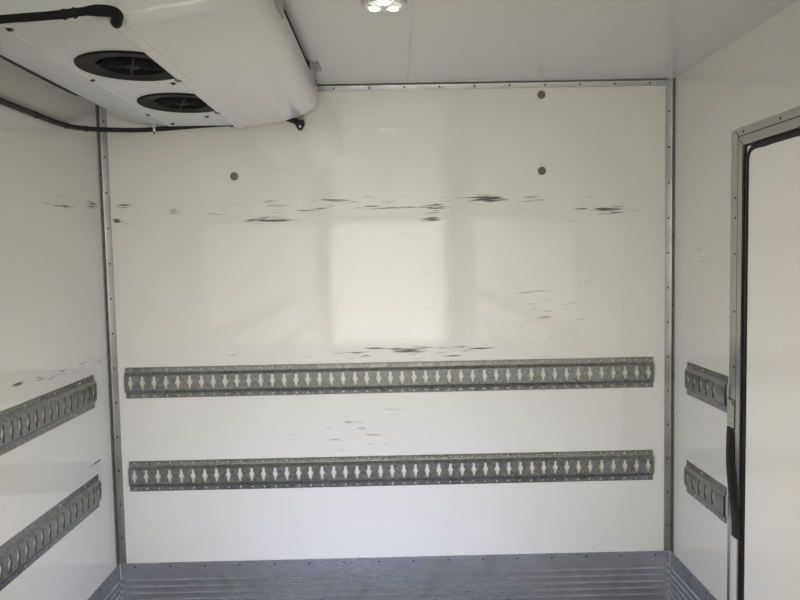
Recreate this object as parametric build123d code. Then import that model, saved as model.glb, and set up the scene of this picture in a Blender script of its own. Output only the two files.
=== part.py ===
"""Insulated refrigerated box body of a rigid truck.

Millimetres. +Y is forward, +X is the kerb side and +Z is up. The origin is
on the underside of the subframe's front cross beam, on the centre line.
"""

from build123d import *
from math import cos, pi, radians, tan
import os

# Load space between the panels
INSIDE_WIDTH = 2430.0
INSIDE_LENGTH = 9700.0
INSIDE_HEIGHT = 2330.0

# Sandwich panels
SIDE_THICK = 85.0
FRONT_THICK = 85.0
ROOF_THICK = 90.0
FLOOR_THICK = 125.0
TREAD_THICK = 5.0
EDGE_RADIUS = 55.0

# Subframe that lies on the truck's chassis rails
RAIL_SPREAD = 850.0
RAIL_WIDTH = 70.0
RAIL_HEIGHT = 120.0
RAIL_WALL = 8.0
BEAM_WIDTH = 60.0
BEAM_HEIGHT = 80.0
BEAM_WALL = 6.0
BEAM_COUNT = 20
END_BEAM_WIDTH = 80.0
END_BEAM_WALL = 10.0
NOSE_AHEAD = 120.0
CONSOLE_LENGTH = 180.0
CONSOLE_HEIGHT = 95.0
CONSOLE_DEPTH = 55.0
CONSOLE_WALL = 8.0
CONSOLE_HOLE_R = 8.5
CONSOLE_HOLE_SPREAD = 110.0
CONSOLE_INSET = 600.0
CONSOLE_PAIRS = 3

# Rear portal and its two door leaves
PORTAL_DEPTH = 110.0
PORTAL_POST = 100.0
PORTAL_HEADER = 60.0
PORTAL_LIP = 15.0
LEAF_THICK = 85.0
LEAF_GAP = 8.0
CENTRE_GAP = 12.0
LEAF_TAPER = 10.0
SEAL_SET = 30.0
SEAL_DEPTH = 30.0
SEAL_CLEAR = 0.5
CENTRE_SEAL_CLEAR = 2.0

# Hinges and locks
REAR_HINGES = 4
REAR_PIN_OUT = 90.0
REAR_PIN_BACK = 45.0
SIDE_HINGES = 3
SIDE_PIN_OUT = 25.0
SIDE_PIN_BACK = 34.0
RUN_CLEAR = 0.3
KNUCKLE_R = 13.0
KNUCKLE_LENGTH = 56.0
LUG_LENGTH = 12.0
LUG_SPREAD = 6.0
LUG_DRAW = 4.0
FINE_FLATS = 12
STRAP_THICK = 8.0
STRAP_HEIGHT = 50.0
STRAP_LENGTH = 240.0
STRAP_SEAT = 12.0
STRAP_SKEW = 1.1
CRANK_START = 0.45
CRANK_END = 0.8
HINGE_INSET = 180.0
ROD_R = 11.0
ROD_STAND = 17.0
ROD_INSET = 130.0
ROD_REACH = 38.0
HANDLE_LENGTH = 380.0
HANDLE_HEIGHT = 700.0
HANDLE_HALF = 16.0
HANDLE_FACE = 28.0
HANDLE_BACK = 20.0
CATCH_LENGTH = 40.0
CATCH_INSET = 20.0
CATCH_HALF = 24.0
GUIDE_COUNT = 4
GUIDE_INSET = 90.0
GUIDE_HALF = 16.0
GUIDE_DEPTH = 26.0
GUIDE_HALF_HEIGHT = 20.0
KEEPER_LAP = 8.0
KEEPER_GAP = 7.0
KEEPER_THICK = 10.0
KEEPER_HALF_HEIGHT = 15.0

# Side door
DOOR_FROM_FRONT = 610.0
DOOR_WIDTH = 900.0
DOOR_TOP_DROP = 372.0
DOOR_SILL = 20.0
TRIM_WIDTH = 60.0
TRIM_STEP = 28.0
TRIM_THICK = 4.0
TRIM_RISE = 8.0
LINER_THICK = 4.0
SIDE_SEAL_SET = 2.0

# Inside trims
ANGLE_LEG = 32.0
ANGLE_THICK = 3.0
TOP_ANGLE_LEG = 26.0
KICK_HEIGHT = 283.0
KICK_THICK = 3.0
KICK_RIB = 3.0
KICK_RIB_PITCH = 30.0
KICK_FIRST_RIB = 12.0
KICK_RIB_CREST = 8.0
KICK_RIB_SLOPE = 4.0
KICK_BARE = 50.0
KICK_REAR_GAP = 10.0

# Lashing rails
TRACK_HEIGHT = 133.5
TRACK_DEPTH = 12.7
TRACK_SHEET = 2.7
TRACK_FLANGE = 22.0
TRACK_CREST = 66.0
TRACK_CREST_DRAW = 1.0
TRACK_FOOT_DRAW = 3.0
TRACK_PITCH = 50.8
TRACK_SLOT_WIDTH = 13.0
TRACK_SLOT_HEIGHT = 58.0
TRACK_SLOT_EYE = 25.0
TRACK_DROPS = (1250.0, 1660.0)
FRONT_TRACK_SLOTS = 45
FRONT_TRACK_START = 62.0
LEFT_TRACK_START = 100.0
RIGHT_TRACK_START = 163.0
RIGHT_TRACK_LENGTH = 348.0
RIGHT_TRACK_SLOTS = 5
TRACK_END_GAP = 90.0

# Ceiling evaporator, laid along the left wall
UNIT_LEFT = 145.0
UNIT_RIGHT = 935.0
UNIT_BACK = 50.0
UNIT_LENGTH = 1310.0
UNIT_DROP = 172.0
UNIT_SEAM = 650.0
UNIT_SHEET = 4.0
TRAY_CREASE = 319.0
TRAY_RISE = 25.0
LIP_LEFT = 588.0
LIP_DROP = 12.0
LIP_THICK = 3.0
COWL_FLAT = 40.0
COWL_BELLY = 58.0
COWL_NOSE = 22.0
UNIT_SLOT = 38.0
FAN_PITCH = 475.0
FAN_FIRST = 445.0
FAN_FROM_WALL = 497.0
FAN_R = 140.0
FAN_HOLE_R = 145.0
GUARD_FLANGE = 5.0
RING_COUNT = 4
RING_THICK = 4.0
RING_GAP = 16.0
RING_FLATS = 24
SPOKE_COUNT = 3
SPOKE_TURN = 20.0
GUARD_RIM = 12.0
GUARD_TUBE = 45.0
GUARD_THICK = 8.0
GUARD_STANDS = 6.0
HUB_R = 45.0
HUB_LENGTH = 38.0
BLADE_COUNT = 6
BLADE_CLEAR = 7.0
BLADE_THICK = 3.0
BLADE_PITCH = 32.0
BLADE_SHARE = 0.42
BLADE_ROOT = 4.0
ROTOR_GAP = 8.0
HANGER_LENGTH = 140.0
HANGER_THICK = 5.0
HANGER_FOOT = 30.0
HANGER_LAP = 30.0
HANGER_INSET = 260.0
COIL_INSET = 60.0
COIL_RISE = 50.0
GRILLE_INSET = 10.0
GRILLE_THICK = 6.0
GRILLE_LAP = 10.0
GRILLE_END = 30.0
GRILLE_BAR = 8.0

# Cooling unit on the outside of the front wall
NOSE_WIDTH = 1900.0
NOSE_HEIGHT = 620.0
NOSE_DEPTH = 430.0
NOSE_TOP_DROP = 35.0
NOSE_SHEET = 6.0
NOSE_CORNER = 90.0
NOSE_FRAME = 40.0
NOSE_FAN_R = 190.0
NOSE_BAR = 60.0
NOSE_SHELF = 8.0
NOSE_SHELF_RISE = 38.0
NOSE_SHELF_INSET = 12.0
CONDENSER_INSET = 90.0
CONDENSER_THICK = 40.0
CONDENSER_FAN_GAP = 35.0
CONDENSER_SPREAD = 1660.0
CONDENSER_HEIGHT = 490.0
CONDENSER_FAN_RISE = 25.0
MOTOR_LENGTH = 75.0
MOTOR_POST = 50.0
DRIVE_WIDTH = 560.0
DRIVE_DEPTH = 170.0
DRIVE_HEIGHT = 262.0
DRIVE_GAP = 10.0
NOSE_FAN_SPREAD = 900.0
LOUVRE_COUNT = 8
LOUVRE_PITCH = 44.0
LOUVRE_OPEN = 26.0
LOUVRE_DROP = 150.0
LOUVRE_INSET = 160.0
LOUVRE_BAR = 60.0
LOUVRE_CUT = 60.0

# Plugs over the bolts of the front wall
PLUG_SPREAD = 1308.0
PLUG_DROPS = (56.0, 375.0)
PLUG_R = 17.0
PLUG_RISE = 6.0

# Lamps
LAMP_R = 65.0
LAMP_RISE = 22.0
LAMP_FROM_FRONT = 970.0
LAMP_PITCH = 2600.0
LAMP_FROM_REAR = 500.0
MARKER_LENGTH = 110.0
MARKER_HEIGHT = 42.0
MARKER_RISE = 6.0
MARKER_COUNT = 5
MARKER_FROM_FRONT = 300.0
MARKER_FROM_REAR = 400.0
TOP_LAMP_INSET = 60.0
TOP_LAMP_LENGTH = 100.0
TOP_LAMP_DEPTH = 24.0
TOP_LAMP_DROP = 30.0
TOP_LAMP_HEIGHT = 40.0

# Pipe and cable
PIPE_R = 12.0
CABLE_R = 10.0
PIPE_FLATS = 8
PIPE_BEND = 0.45

# Places worked out from the sizes
HALF_IN = INSIDE_WIDTH / 2
HALF_OUT = HALF_IN + SIDE_THICK
BEAM_BASE = RAIL_HEIGHT
FLOOR_BASE = BEAM_BASE + BEAM_HEIGHT
FLOOR_TOP = FLOOR_BASE + FLOOR_THICK
CEILING = FLOOR_TOP + INSIDE_HEIGHT
ROOF_TOP = CEILING + ROOF_THICK
FRONT_OUT = NOSE_AHEAD
FRONT_IN = FRONT_OUT - FRONT_THICK
REAR_IN = FRONT_IN - INSIDE_LENGTH
REAR_OUT = REAR_IN - PORTAL_DEPTH
DOOR_FRONT = FRONT_IN - DOOR_FROM_FRONT
DOOR_REAR = DOOR_FRONT - DOOR_WIDTH
DOOR_BOTTOM = FLOOR_TOP + DOOR_SILL
DOOR_TOP = CEILING - DOOR_TOP_DROP
LEFT_IN = -HALF_IN


def block(x, y, z):
    """Box between pairs of limits, given in either order."""
    size = [abs(p[1] - p[0]) for p in (x, y, z)]
    middle = [(p[0] + p[1]) / 2 for p in (x, y, z)]
    return Pos(*middle) * Box(*size)


def prism(points, plane, start, end):
    """Polygon in a plane, carried from start to end along its normal."""
    face = make_face(Polyline(*points, close=True))
    return extrude(plane.offset(start) * face, amount=end - start)


PLAN = Plane.XY
FACING = Plane(origin=(0, 0, 0), x_dir=(1, 0, 0), z_dir=(0, -1, 0))
ACROSS = Plane(origin=(0, 0, 0), x_dir=(0, 1, 0), z_dir=(1, 0, 0))


def rod(radius, start, end, sides=0):
    """Bar from one point to another, round or with a number of flats."""
    a, b = Vector(*start), Vector(*end)
    place = Plane(origin=a, z_dir=b - a)
    face = RegularPolygon(radius, sides) if sides else Circle(radius)
    return extrude(place * face, amount=(b - a).length)


def write(name, *solids):
    """Write one node, made of one or more solids."""
    flat = []
    for item in solids:
        flat += list(item.solids())
    shape = flat[0] if len(flat) == 1 else Compound(children=flat)
    export_step(shape, os.path.join("parts", name + ".step"))


def spaced(first, last, count):
    """Evenly spaced places from first to last."""
    step = (last - first) / (count - 1)
    return [first + step * i for i in range(count)]


# Subframe and floor

def channel(width, height, wall):
    """Corners of a channel, open towards +u, standing on v = 0."""
    return [
        (0, 0), (width, 0), (width, wall), (wall, wall),
        (wall, height - wall), (width, height - wall), (width, height), (0, height),
    ]


BEAM_FIRST = FRONT_OUT - 2 * BEAM_WIDTH
BEAM_LAST = REAR_OUT + BEAM_WIDTH
RAIL_FRONT = END_BEAM_WIDTH / 2
RAIL_REAR = REAR_OUT + NOSE_AHEAD


def subframe():
    """Two long channels with a flat beam across each end."""
    half = RAIL_SPREAD / 2
    parts = []
    for side in (-1, 1):
        corners = [
            (side * (half - u), v) for u, v in channel(RAIL_WIDTH, RAIL_HEIGHT, RAIL_WALL)
        ]
        parts.append(prism(corners, FACING, -RAIL_FRONT, -RAIL_REAR))
    inner = half - RAIL_WIDTH
    for y in (0.0, RAIL_REAR + END_BEAM_WIDTH / 2):
        low, high = y - END_BEAM_WIDTH / 2, y + END_BEAM_WIDTH / 2
        foot = block((-inner, inner), (low, high), (0, END_BEAM_WALL))
        web = block((-inner, inner), (y - END_BEAM_WALL / 2, y + END_BEAM_WALL / 2), (0, RAIL_HEIGHT))
        parts += [foot, web]
        for side in (-1, 1):
            reach = (side * (inner - 1), side * (half - RAIL_WALL))
            parts.append(block(reach, (low, high), (0, END_BEAM_WALL)))
            parts.append(block(reach, (y - END_BEAM_WALL / 2, y + END_BEAM_WALL / 2), (0, RAIL_HEIGHT)))
    whole = parts[0]
    for part in parts[1:]:
        whole += part
    return whole


def cross_beams():
    """Channels across the rails, under the floor."""
    reach = HALF_OUT - BEAM_WIDTH / 2
    beams = []
    for y in spaced(BEAM_FIRST, BEAM_LAST, BEAM_COUNT):
        corners = [(y + u - BEAM_WIDTH / 2, BEAM_BASE + v) for u, v in channel(BEAM_WIDTH, BEAM_HEIGHT, BEAM_WALL)]
        beams.append(prism(corners, ACROSS, -reach, reach))
    return beams


def console(side, y):
    """Angle bracket that bolts the subframe to the chassis rail below it."""
    outer = side * RAIL_SPREAD / 2
    foot_top = RAIL_HEIGHT - RAIL_WALL
    low = foot_top - CONSOLE_HEIGHT
    plate = block((outer, outer + side * CONSOLE_WALL), (y - CONSOLE_LENGTH / 2, y + CONSOLE_LENGTH / 2), (low, foot_top))
    shelf = block((outer, outer + side * CONSOLE_DEPTH), (y - CONSOLE_LENGTH / 2, y + CONSOLE_LENGTH / 2), (low, low + CONSOLE_WALL))
    shape = plate + shelf
    middle = outer + side * (CONSOLE_DEPTH + CONSOLE_WALL) / 2
    for step in (-1, 1):
        hole_y = y + step * CONSOLE_HOLE_SPREAD / 2
        shape -= rod(CONSOLE_HOLE_R, (middle, hole_y, low - 1), (middle, hole_y, low + CONSOLE_WALL + 1))
    return shape


CONSOLE_PLACES = spaced(RAIL_FRONT - CONSOLE_INSET, RAIL_REAR + CONSOLE_INSET, CONSOLE_PAIRS)


# Panels and outer edges

def side_wall(side):
    """Long wall panel between the edge profiles."""
    return block((side * HALF_IN, side * HALF_OUT), (REAR_IN, FRONT_IN), (FLOOR_TOP, CEILING))


def right_wall():
    """Kerb side wall with its doorway."""
    opening = block((HALF_IN - 1, HALF_OUT + 1), (DOOR_REAR - LINER_THICK, DOOR_FRONT + LINER_THICK),
                    (DOOR_BOTTOM - LINER_THICK, DOOR_TOP + LINER_THICK))
    return side_wall(1) - opening


def edge_loop(low, high, rounded_top):
    """Profile round the left side, the front and the right side."""
    outer = block((-HALF_OUT, HALF_OUT), (REAR_IN, FRONT_OUT), (low, high))
    upright = outer.edges().filter_by(Axis.Z).sort_by(Axis.Y)[-2:]
    outer = fillet(upright, EDGE_RADIUS)
    if rounded_top:
        rim = outer.faces().sort_by(Axis.Z)[-1].edges()
        rear = rim.sort_by(Axis.Y)[0]
        outer = fillet([e for e in rim if e != rear], EDGE_RADIUS - 1)
    inner = block((-HALF_IN, HALF_IN), (REAR_IN - 1, FRONT_IN), (low - 1, high + 1))
    return outer - inner


def corner_post(side):
    """Rounded profile at a front corner."""
    post = block((side * HALF_IN, side * HALF_OUT), (FRONT_IN, FRONT_OUT), (FLOOR_TOP, CEILING))
    edges = post.edges().filter_by(Axis.Z).sort_by(Axis.Y)[-2:]
    outer = edges.sort_by(Axis.X)[-1 if side > 0 else 0]
    return fillet(outer, EDGE_RADIUS)


# Rear portal and doors

OPEN_HALF = HALF_OUT - PORTAL_POST
OPEN_TOP = CEILING - PORTAL_HEADER


def portal():
    """Steel frame round the rear opening, with a stop lip inside."""
    frame = block((-HALF_OUT, HALF_OUT), (REAR_OUT, REAR_IN), (FLOOR_BASE, ROOF_TOP))
    step = REAR_OUT + LEAF_THICK + SEAL_CLEAR
    frame -= block((-OPEN_HALF, OPEN_HALF), (REAR_OUT - 1, step), (FLOOR_TOP, OPEN_TOP))
    lip = OPEN_HALF - PORTAL_LIP
    frame -= block((-lip, lip), (step - 1, REAR_IN + 1), (FLOOR_TOP, OPEN_TOP - PORTAL_LIP))
    return frame


LEAF_LOW = FLOOR_TOP + LEAF_GAP
LEAF_HIGH = OPEN_TOP - LEAF_GAP


def rear_leaf(side):
    """Rear door leaf, its free edge tapered so that it swings clear."""
    hinge = side * (OPEN_HALF - LEAF_GAP)
    free = side * CENTRE_GAP / 2
    corners = [
        (hinge, REAR_OUT), (free, REAR_OUT),
        (free + side * LEAF_TAPER, REAR_OUT + LEAF_THICK), (hinge, REAR_OUT + LEAF_THICK),
    ]
    return prism(corners, PLAN, LEAF_LOW, LEAF_HIGH)


def rear_seal(side):
    """Rubber round the edge of a rear leaf."""
    hinge = side * (OPEN_HALF - SEAL_CLEAR)
    free = side * CENTRE_SEAL_CLEAR
    low = FLOOR_TOP + SEAL_CLEAR
    high = OPEN_TOP - SEAL_CLEAR
    ring = block((hinge, free), (REAR_OUT + SEAL_SET, REAR_OUT + SEAL_SET + SEAL_DEPTH), (low, high))
    return ring - rear_leaf(side)


def strap_corners(out, back, pad):
    """Plan of a cranked hinge strap, pin at the origin, leaf along +u, over a pad on the frame."""
    half = STRAP_THICK / 2
    seat = back - half
    shift = out + LEAF_GAP
    start = shift + STRAP_SEAT
    line = [(back * CRANK_START, back * CRANK_START), (shift * CRANK_END, seat - half - pad)]
    upper = [(u, v - half * STRAP_SKEW) for u, v in line]
    lower = [(u, v + half * STRAP_SKEW) for u, v in reversed(line)]
    end = shift + STRAP_LENGTH
    return [
        (0, -half), *upper, (start, seat - half), (end, seat - half),
        (end, seat + half), (start, seat + half), *lower, (0, half),
    ]


def hinge_parts(place, out, back, pad, z):
    """Strap with its barrel, and the two lugs that hold the barrel, for one hinge."""
    strap = prism([place(u, v) for u, v in strap_corners(out, back, pad)], PLAN, z - STRAP_HEIGHT / 2, z + STRAP_HEIGHT / 2)
    cx, cy = place(0, 0)
    strap += rod(KNUCKLE_R, (cx, cy, z - KNUCKLE_LENGTH / 2), (cx, cy, z + KNUCKLE_LENGTH / 2), FINE_FLATS)
    near = KNUCKLE_LENGTH / 2 + RUN_CLEAR
    far = near + LUG_LENGTH
    nose, cheek = KNUCKLE_R * 0.4, KNUCKLE_R
    corners = [(-cheek, -nose), (-nose, -cheek), (nose, -cheek), (cheek, -nose),
               (cheek + LUG_SPREAD, back - pad), (-cheek + LUG_DRAW, back - pad)]
    lugs = []
    for low, high in ((-far, -near), (near, far)):
        lugs.append(prism([place(u, v) for u, v in corners], PLAN, z + low, z + high))
    return strap, lugs


def lock_rod(place, back, low, high, reach):
    """Lock rod with its bearings and handle, on the outside of a leaf."""
    x, y = place(reach, back - ROD_STAND)
    bar = rod(ROD_R, (x, y, low - ROD_REACH), (x, y, high + ROD_REACH), FINE_FLATS)
    for z in spaced(low + GUIDE_INSET, high - GUIDE_INSET, GUIDE_COUNT):
        near, far = reach - GUIDE_HALF, reach + GUIDE_HALF
        corners = [place(near, back), place(far, back), place(far, back - GUIDE_DEPTH), place(near, back - GUIDE_DEPTH)]
        bar += prism(corners, PLAN, z - GUIDE_HALF_HEIGHT, z + GUIDE_HALF_HEIGHT)
    end = reach - HANDLE_LENGTH
    middle = low + HANDLE_HEIGHT
    grip = [place(reach, back - HANDLE_FACE), place(reach, back - HANDLE_BACK),
            place(end, back - HANDLE_BACK), place(end, back - HANDLE_FACE)]
    bar += prism(grip, PLAN, middle - HANDLE_HALF, middle + HANDLE_HALF)
    near, far = end + CATCH_INSET, end + CATCH_INSET + CATCH_LENGTH
    catch = [place(far, back), place(far, back - HANDLE_BACK), place(near, back - HANDLE_BACK), place(near, back)]
    bar += prism(catch, PLAN, middle - CATCH_HALF, middle + CATCH_HALF)
    return bar


def keepers(place, back, reach):
    """Pairs of cheeks on the portal that take the ends of a lock rod."""
    cheeks = []
    for z in (LEAF_LOW - ROD_REACH + KEEPER_LAP, LEAF_HIGH + ROD_REACH - KEEPER_LAP):
        for step in (-1, 1):
            near = reach + step * (ROD_R + KEEPER_GAP)
            far = near + step * KEEPER_THICK
            corners = [place(near, back), place(near, back - GUIDE_DEPTH),
                       place(far, back - GUIDE_DEPTH), place(far, back)]
            cheeks.append(prism(corners, PLAN, z - KEEPER_HALF_HEIGHT, z + KEEPER_HALF_HEIGHT))
    return cheeks


def rear_place(side):
    """From hinge coordinates to plan, for a rear leaf."""
    pin_x = side * (OPEN_HALF + REAR_PIN_OUT)
    pin_y = REAR_OUT - REAR_PIN_BACK
    return lambda u, v: (pin_x - side * u, pin_y + v)


def side_place(u, v):
    """From hinge coordinates to plan, for the side door."""
    return (HALF_OUT + SIDE_PIN_BACK - v, DOOR_REAR - SIDE_PIN_OUT + u)


# Side door

SIDE_LOW = DOOR_BOTTOM + LEAF_GAP
SIDE_HIGH = DOOR_TOP - LEAF_GAP


def side_leaf():
    """Side door leaf, its free edge tapered so that it swings clear."""
    hinge = DOOR_REAR + LEAF_GAP
    free = DOOR_FRONT - LEAF_GAP
    corners = [
        (HALF_OUT, hinge), (HALF_OUT, free), (HALF_IN, free - LEAF_TAPER), (HALF_IN, hinge),
    ]
    return prism(corners, PLAN, SIDE_LOW, SIDE_HIGH)


def side_seal():
    """Rubber round the inner edge of the side leaf."""
    start = HALF_IN + SIDE_SEAL_SET
    ring = block((start, start + SEAL_DEPTH), (DOOR_REAR + SEAL_CLEAR, DOOR_FRONT - SEAL_CLEAR),
                 (DOOR_BOTTOM + SEAL_CLEAR, DOOR_TOP - SEAL_CLEAR))
    return ring - side_leaf()


def side_frame():
    """Aluminium liner of the doorway with a two step trim inside and a flange outside."""
    def ring(x, outer, inner):
        frame = block(x, (DOOR_REAR - outer, DOOR_FRONT + outer), (DOOR_BOTTOM - outer, DOOR_TOP + outer))
        return frame - block((x[0] - 1, x[1] + 1), (DOOR_REAR - inner, DOOR_FRONT + inner), (DOOR_BOTTOM - inner, DOOR_TOP + inner))
    liner = ring((HALF_IN - TRIM_RISE, HALF_OUT + TRIM_THICK), LINER_THICK, 0)
    base = ring((HALF_IN - TRIM_THICK, HALF_IN), TRIM_WIDTH, LINER_THICK / 2)
    raised = ring((HALF_IN - TRIM_RISE, HALF_IN - TRIM_THICK), TRIM_STEP, LINER_THICK / 2)
    flange = ring((HALF_OUT, HALF_OUT + TRIM_THICK), TRIM_STEP, LINER_THICK / 2)
    whole = liner + base + raised + flange
    cut_low = block((HALF_IN - TRIM_RISE - 1, HALF_IN), (DOOR_REAR - TRIM_WIDTH - 1, DOOR_FRONT + TRIM_WIDTH + 1),
                    (FLOOR_TOP - TRIM_WIDTH, FLOOR_TOP + TREAD_THICK))
    return whole - cut_low


# Inside trims and lashing rails

def angle_trim(side):
    """Upright angle in a front corner."""
    x = side * HALF_IN
    corners = [
        (x, FRONT_IN), (x - side * ANGLE_LEG, FRONT_IN), (x - side * ANGLE_LEG, FRONT_IN - ANGLE_THICK),
        (x - side * ANGLE_THICK, FRONT_IN - ANGLE_THICK), (x - side * ANGLE_THICK, FRONT_IN - ANGLE_LEG),
        (x, FRONT_IN - ANGLE_LEG),
    ]
    return prism(corners, PLAN, FLOOR_TOP + KICK_HEIGHT, CEILING)


def top_trim():
    """Angle between the front wall and the ceiling."""
    corners = [
        (FRONT_IN, CEILING), (FRONT_IN - TOP_ANGLE_LEG, CEILING), (FRONT_IN - TOP_ANGLE_LEG, CEILING - ANGLE_THICK),
        (FRONT_IN - ANGLE_THICK, CEILING - ANGLE_THICK), (FRONT_IN - ANGLE_THICK, CEILING - TOP_ANGLE_LEG),
        (FRONT_IN, CEILING - TOP_ANGLE_LEG),
    ]
    reach = HALF_IN - ANGLE_LEG
    return prism(corners, ACROSS, -reach, reach)


def kick_outline():
    """Section of the ribbed kick plate, wall at u = 0, foot at v = 0."""
    points = [(0, 0), (KICK_THICK, 0)]
    ribs = int((KICK_HEIGHT - KICK_BARE) // KICK_RIB_PITCH)
    for i in range(ribs):
        foot = KICK_FIRST_RIB + i * KICK_RIB_PITCH
        crest = foot + KICK_RIB_SLOPE
        points += [(KICK_THICK, foot), (KICK_THICK + KICK_RIB, crest),
                   (KICK_THICK + KICK_RIB, crest + KICK_RIB_CREST),
                   (KICK_THICK, crest + KICK_RIB_CREST + KICK_RIB_SLOPE)]
    points += [(KICK_THICK, KICK_HEIGHT), (0, KICK_HEIGHT)]
    return points


def kick_plates():
    """Ribbed plates along the foot of the front and side walls."""
    base = FLOOR_TOP + TREAD_THICK
    scale = (KICK_HEIGHT - TREAD_THICK) / KICK_HEIGHT
    outline = [(u, base + v * scale) for u, v in kick_outline()]
    room = KICK_THICK + KICK_RIB
    front = prism([(FRONT_IN - u, v) for u, v in outline], ACROSS, -HALF_IN + room + 1, HALF_IN - room - 1)
    plates = [front]
    rear = REAR_IN + KICK_REAR_GAP
    door_rear = DOOR_REAR - TRIM_WIDTH
    door_front = DOOR_FRONT + TRIM_WIDTH
    for side, start, end in ((-1, FRONT_IN, rear), (1, FRONT_IN, door_front), (1, door_rear, rear)):
        plates.append(prism([(side * (HALF_IN - u), v) for u, v in outline], FACING, -start, -end))
    return plates


def track_outline():
    """Hat section of a lashing rail, wall at u = 0, middle at v = 0."""
    half, crest = TRACK_HEIGHT / 2, TRACK_CREST / 2
    foot = half - TRACK_FLANGE
    s, d = TRACK_SHEET, TRACK_DEPTH
    outer = [(0, half), (s, half), (s, foot), (d, crest)]
    inner = [(d - s, crest - TRACK_CREST_DRAW), (0, foot - TRACK_FOOT_DRAW)]
    right = outer + [(u, -v) for u, v in reversed(outer)]
    left = [(u, -v) for u, v in reversed(inner)] + inner
    return right + left


def slot_points(middle):
    """Upright slot with an eye in its middle."""
    w, h, e = TRACK_SLOT_WIDTH / 2, TRACK_SLOT_HEIGHT / 2, TRACK_SLOT_EYE / 2
    right = [(w, h), (w, e), (e, 0), (w, -e), (w, -h)]
    left = [(-x, -z) for x, z in right]
    return [(middle + x, z) for x, z in right + left]


def track(length, slots, first, place_section, place_slot):
    """One lashing rail of a given length with its row of slots."""
    rail = place_section(track_outline(), length)
    for i in range(slots):
        rail -= place_slot(slot_points(first + i * TRACK_PITCH))
    return rail


def front_track(drop):
    """Lashing rail on the front wall."""
    z = CEILING - drop
    start = LEFT_IN + FRONT_TRACK_START
    length = FRONT_TRACK_SLOTS * TRACK_PITCH

    def section(points, reach):
        return prism([(FRONT_IN - u, z + v) for u, v in points], ACROSS, start, start + reach)

    def slot(points):
        return prism([(x, z + v) for x, v in points], FACING, -FRONT_IN - 1, -FRONT_IN + TRACK_DEPTH + 1)

    return track(length, FRONT_TRACK_SLOTS, start + TRACK_PITCH / 2, section, slot)


def side_track(side, start, length, slots, drop):
    """Lashing rail on a side wall, running back from start."""
    z = CEILING - drop
    x = side * HALF_IN

    def section(points, reach):
        return prism([(x - side * u, z + v) for u, v in points], FACING, -start, -start + reach)

    def slot(points):
        return prism([(y, z + v) for y, v in points], ACROSS, *sorted((x + side, x - side * (TRACK_DEPTH + 1))))

    first = start - TRACK_PITCH / 2 - (slots - 1) * TRACK_PITCH
    return track(length, slots, first, section, slot)


# Evaporator

UNIT_X0 = LEFT_IN + UNIT_LEFT
TRAY_CREASE_X = LEFT_IN + TRAY_CREASE
LIP_X = LEFT_IN + LIP_LEFT
UNIT_X1 = LEFT_IN + UNIT_RIGHT
UNIT_SEAM_X = LEFT_IN + UNIT_SEAM
UNIT_FRONT = FRONT_IN - UNIT_BACK
UNIT_REAR = UNIT_FRONT - UNIT_LENGTH
UNIT_BASE = CEILING - UNIT_DROP
FAN_X = LEFT_IN + FAN_FROM_WALL
FAN_YS = (UNIT_FRONT - FAN_FIRST, UNIT_FRONT - FAN_FIRST - FAN_PITCH)


def cowl_face(inset, rise):
    """Section of the cowl, drawn in by a wall and raised at its open top."""
    left, right = UNIT_SEAM_X, UNIT_X1 - inset
    low, top = UNIT_BASE + inset, CEILING - UNIT_SLOT + rise
    with BuildSketch() as sketch:
        with BuildLine():
            foot = Line((left, low), (left + COWL_FLAT, low))
            belly = TangentArc(foot @ 1, (right - COWL_NOSE, low + COWL_BELLY), tangent=(1, 0))
            nose = TangentArc(belly @ 1, (right, low + COWL_BELLY + COWL_NOSE), tangent=belly % 1)
            wall = Line(nose @ 1, (right, top))
            lid = Line(wall @ 1, (left, top))
            Line(lid @ 1, foot @ 0)
        make_face()
    return sketch.sketch.faces()[0]


def cowl():
    """Thin cowl over the coil, open above, where the cold air leaves along the ceiling."""
    outer = extrude(FACING.offset(-UNIT_FRONT) * cowl_face(0, 0), amount=UNIT_LENGTH)
    hollow = UNIT_LENGTH - 2 * UNIT_SHEET
    inner = extrude(FACING.offset(-UNIT_FRONT + UNIT_SHEET) * cowl_face(UNIT_SHEET, UNIT_SLOT), amount=hollow)
    lip = [
        (LIP_X, UNIT_BASE - LIP_DROP), (UNIT_SEAM_X + UNIT_SHEET, UNIT_BASE - LIP_DROP),
        (UNIT_SEAM_X + UNIT_SHEET, UNIT_BASE + 1), (UNIT_SEAM_X, UNIT_BASE + 1),
        (UNIT_SEAM_X, UNIT_BASE - LIP_DROP + LIP_THICK), (LIP_X, UNIT_BASE - LIP_DROP + LIP_THICK),
    ]
    return outer - inner + prism(lip, FACING, -UNIT_FRONT, -UNIT_REAR)


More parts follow.
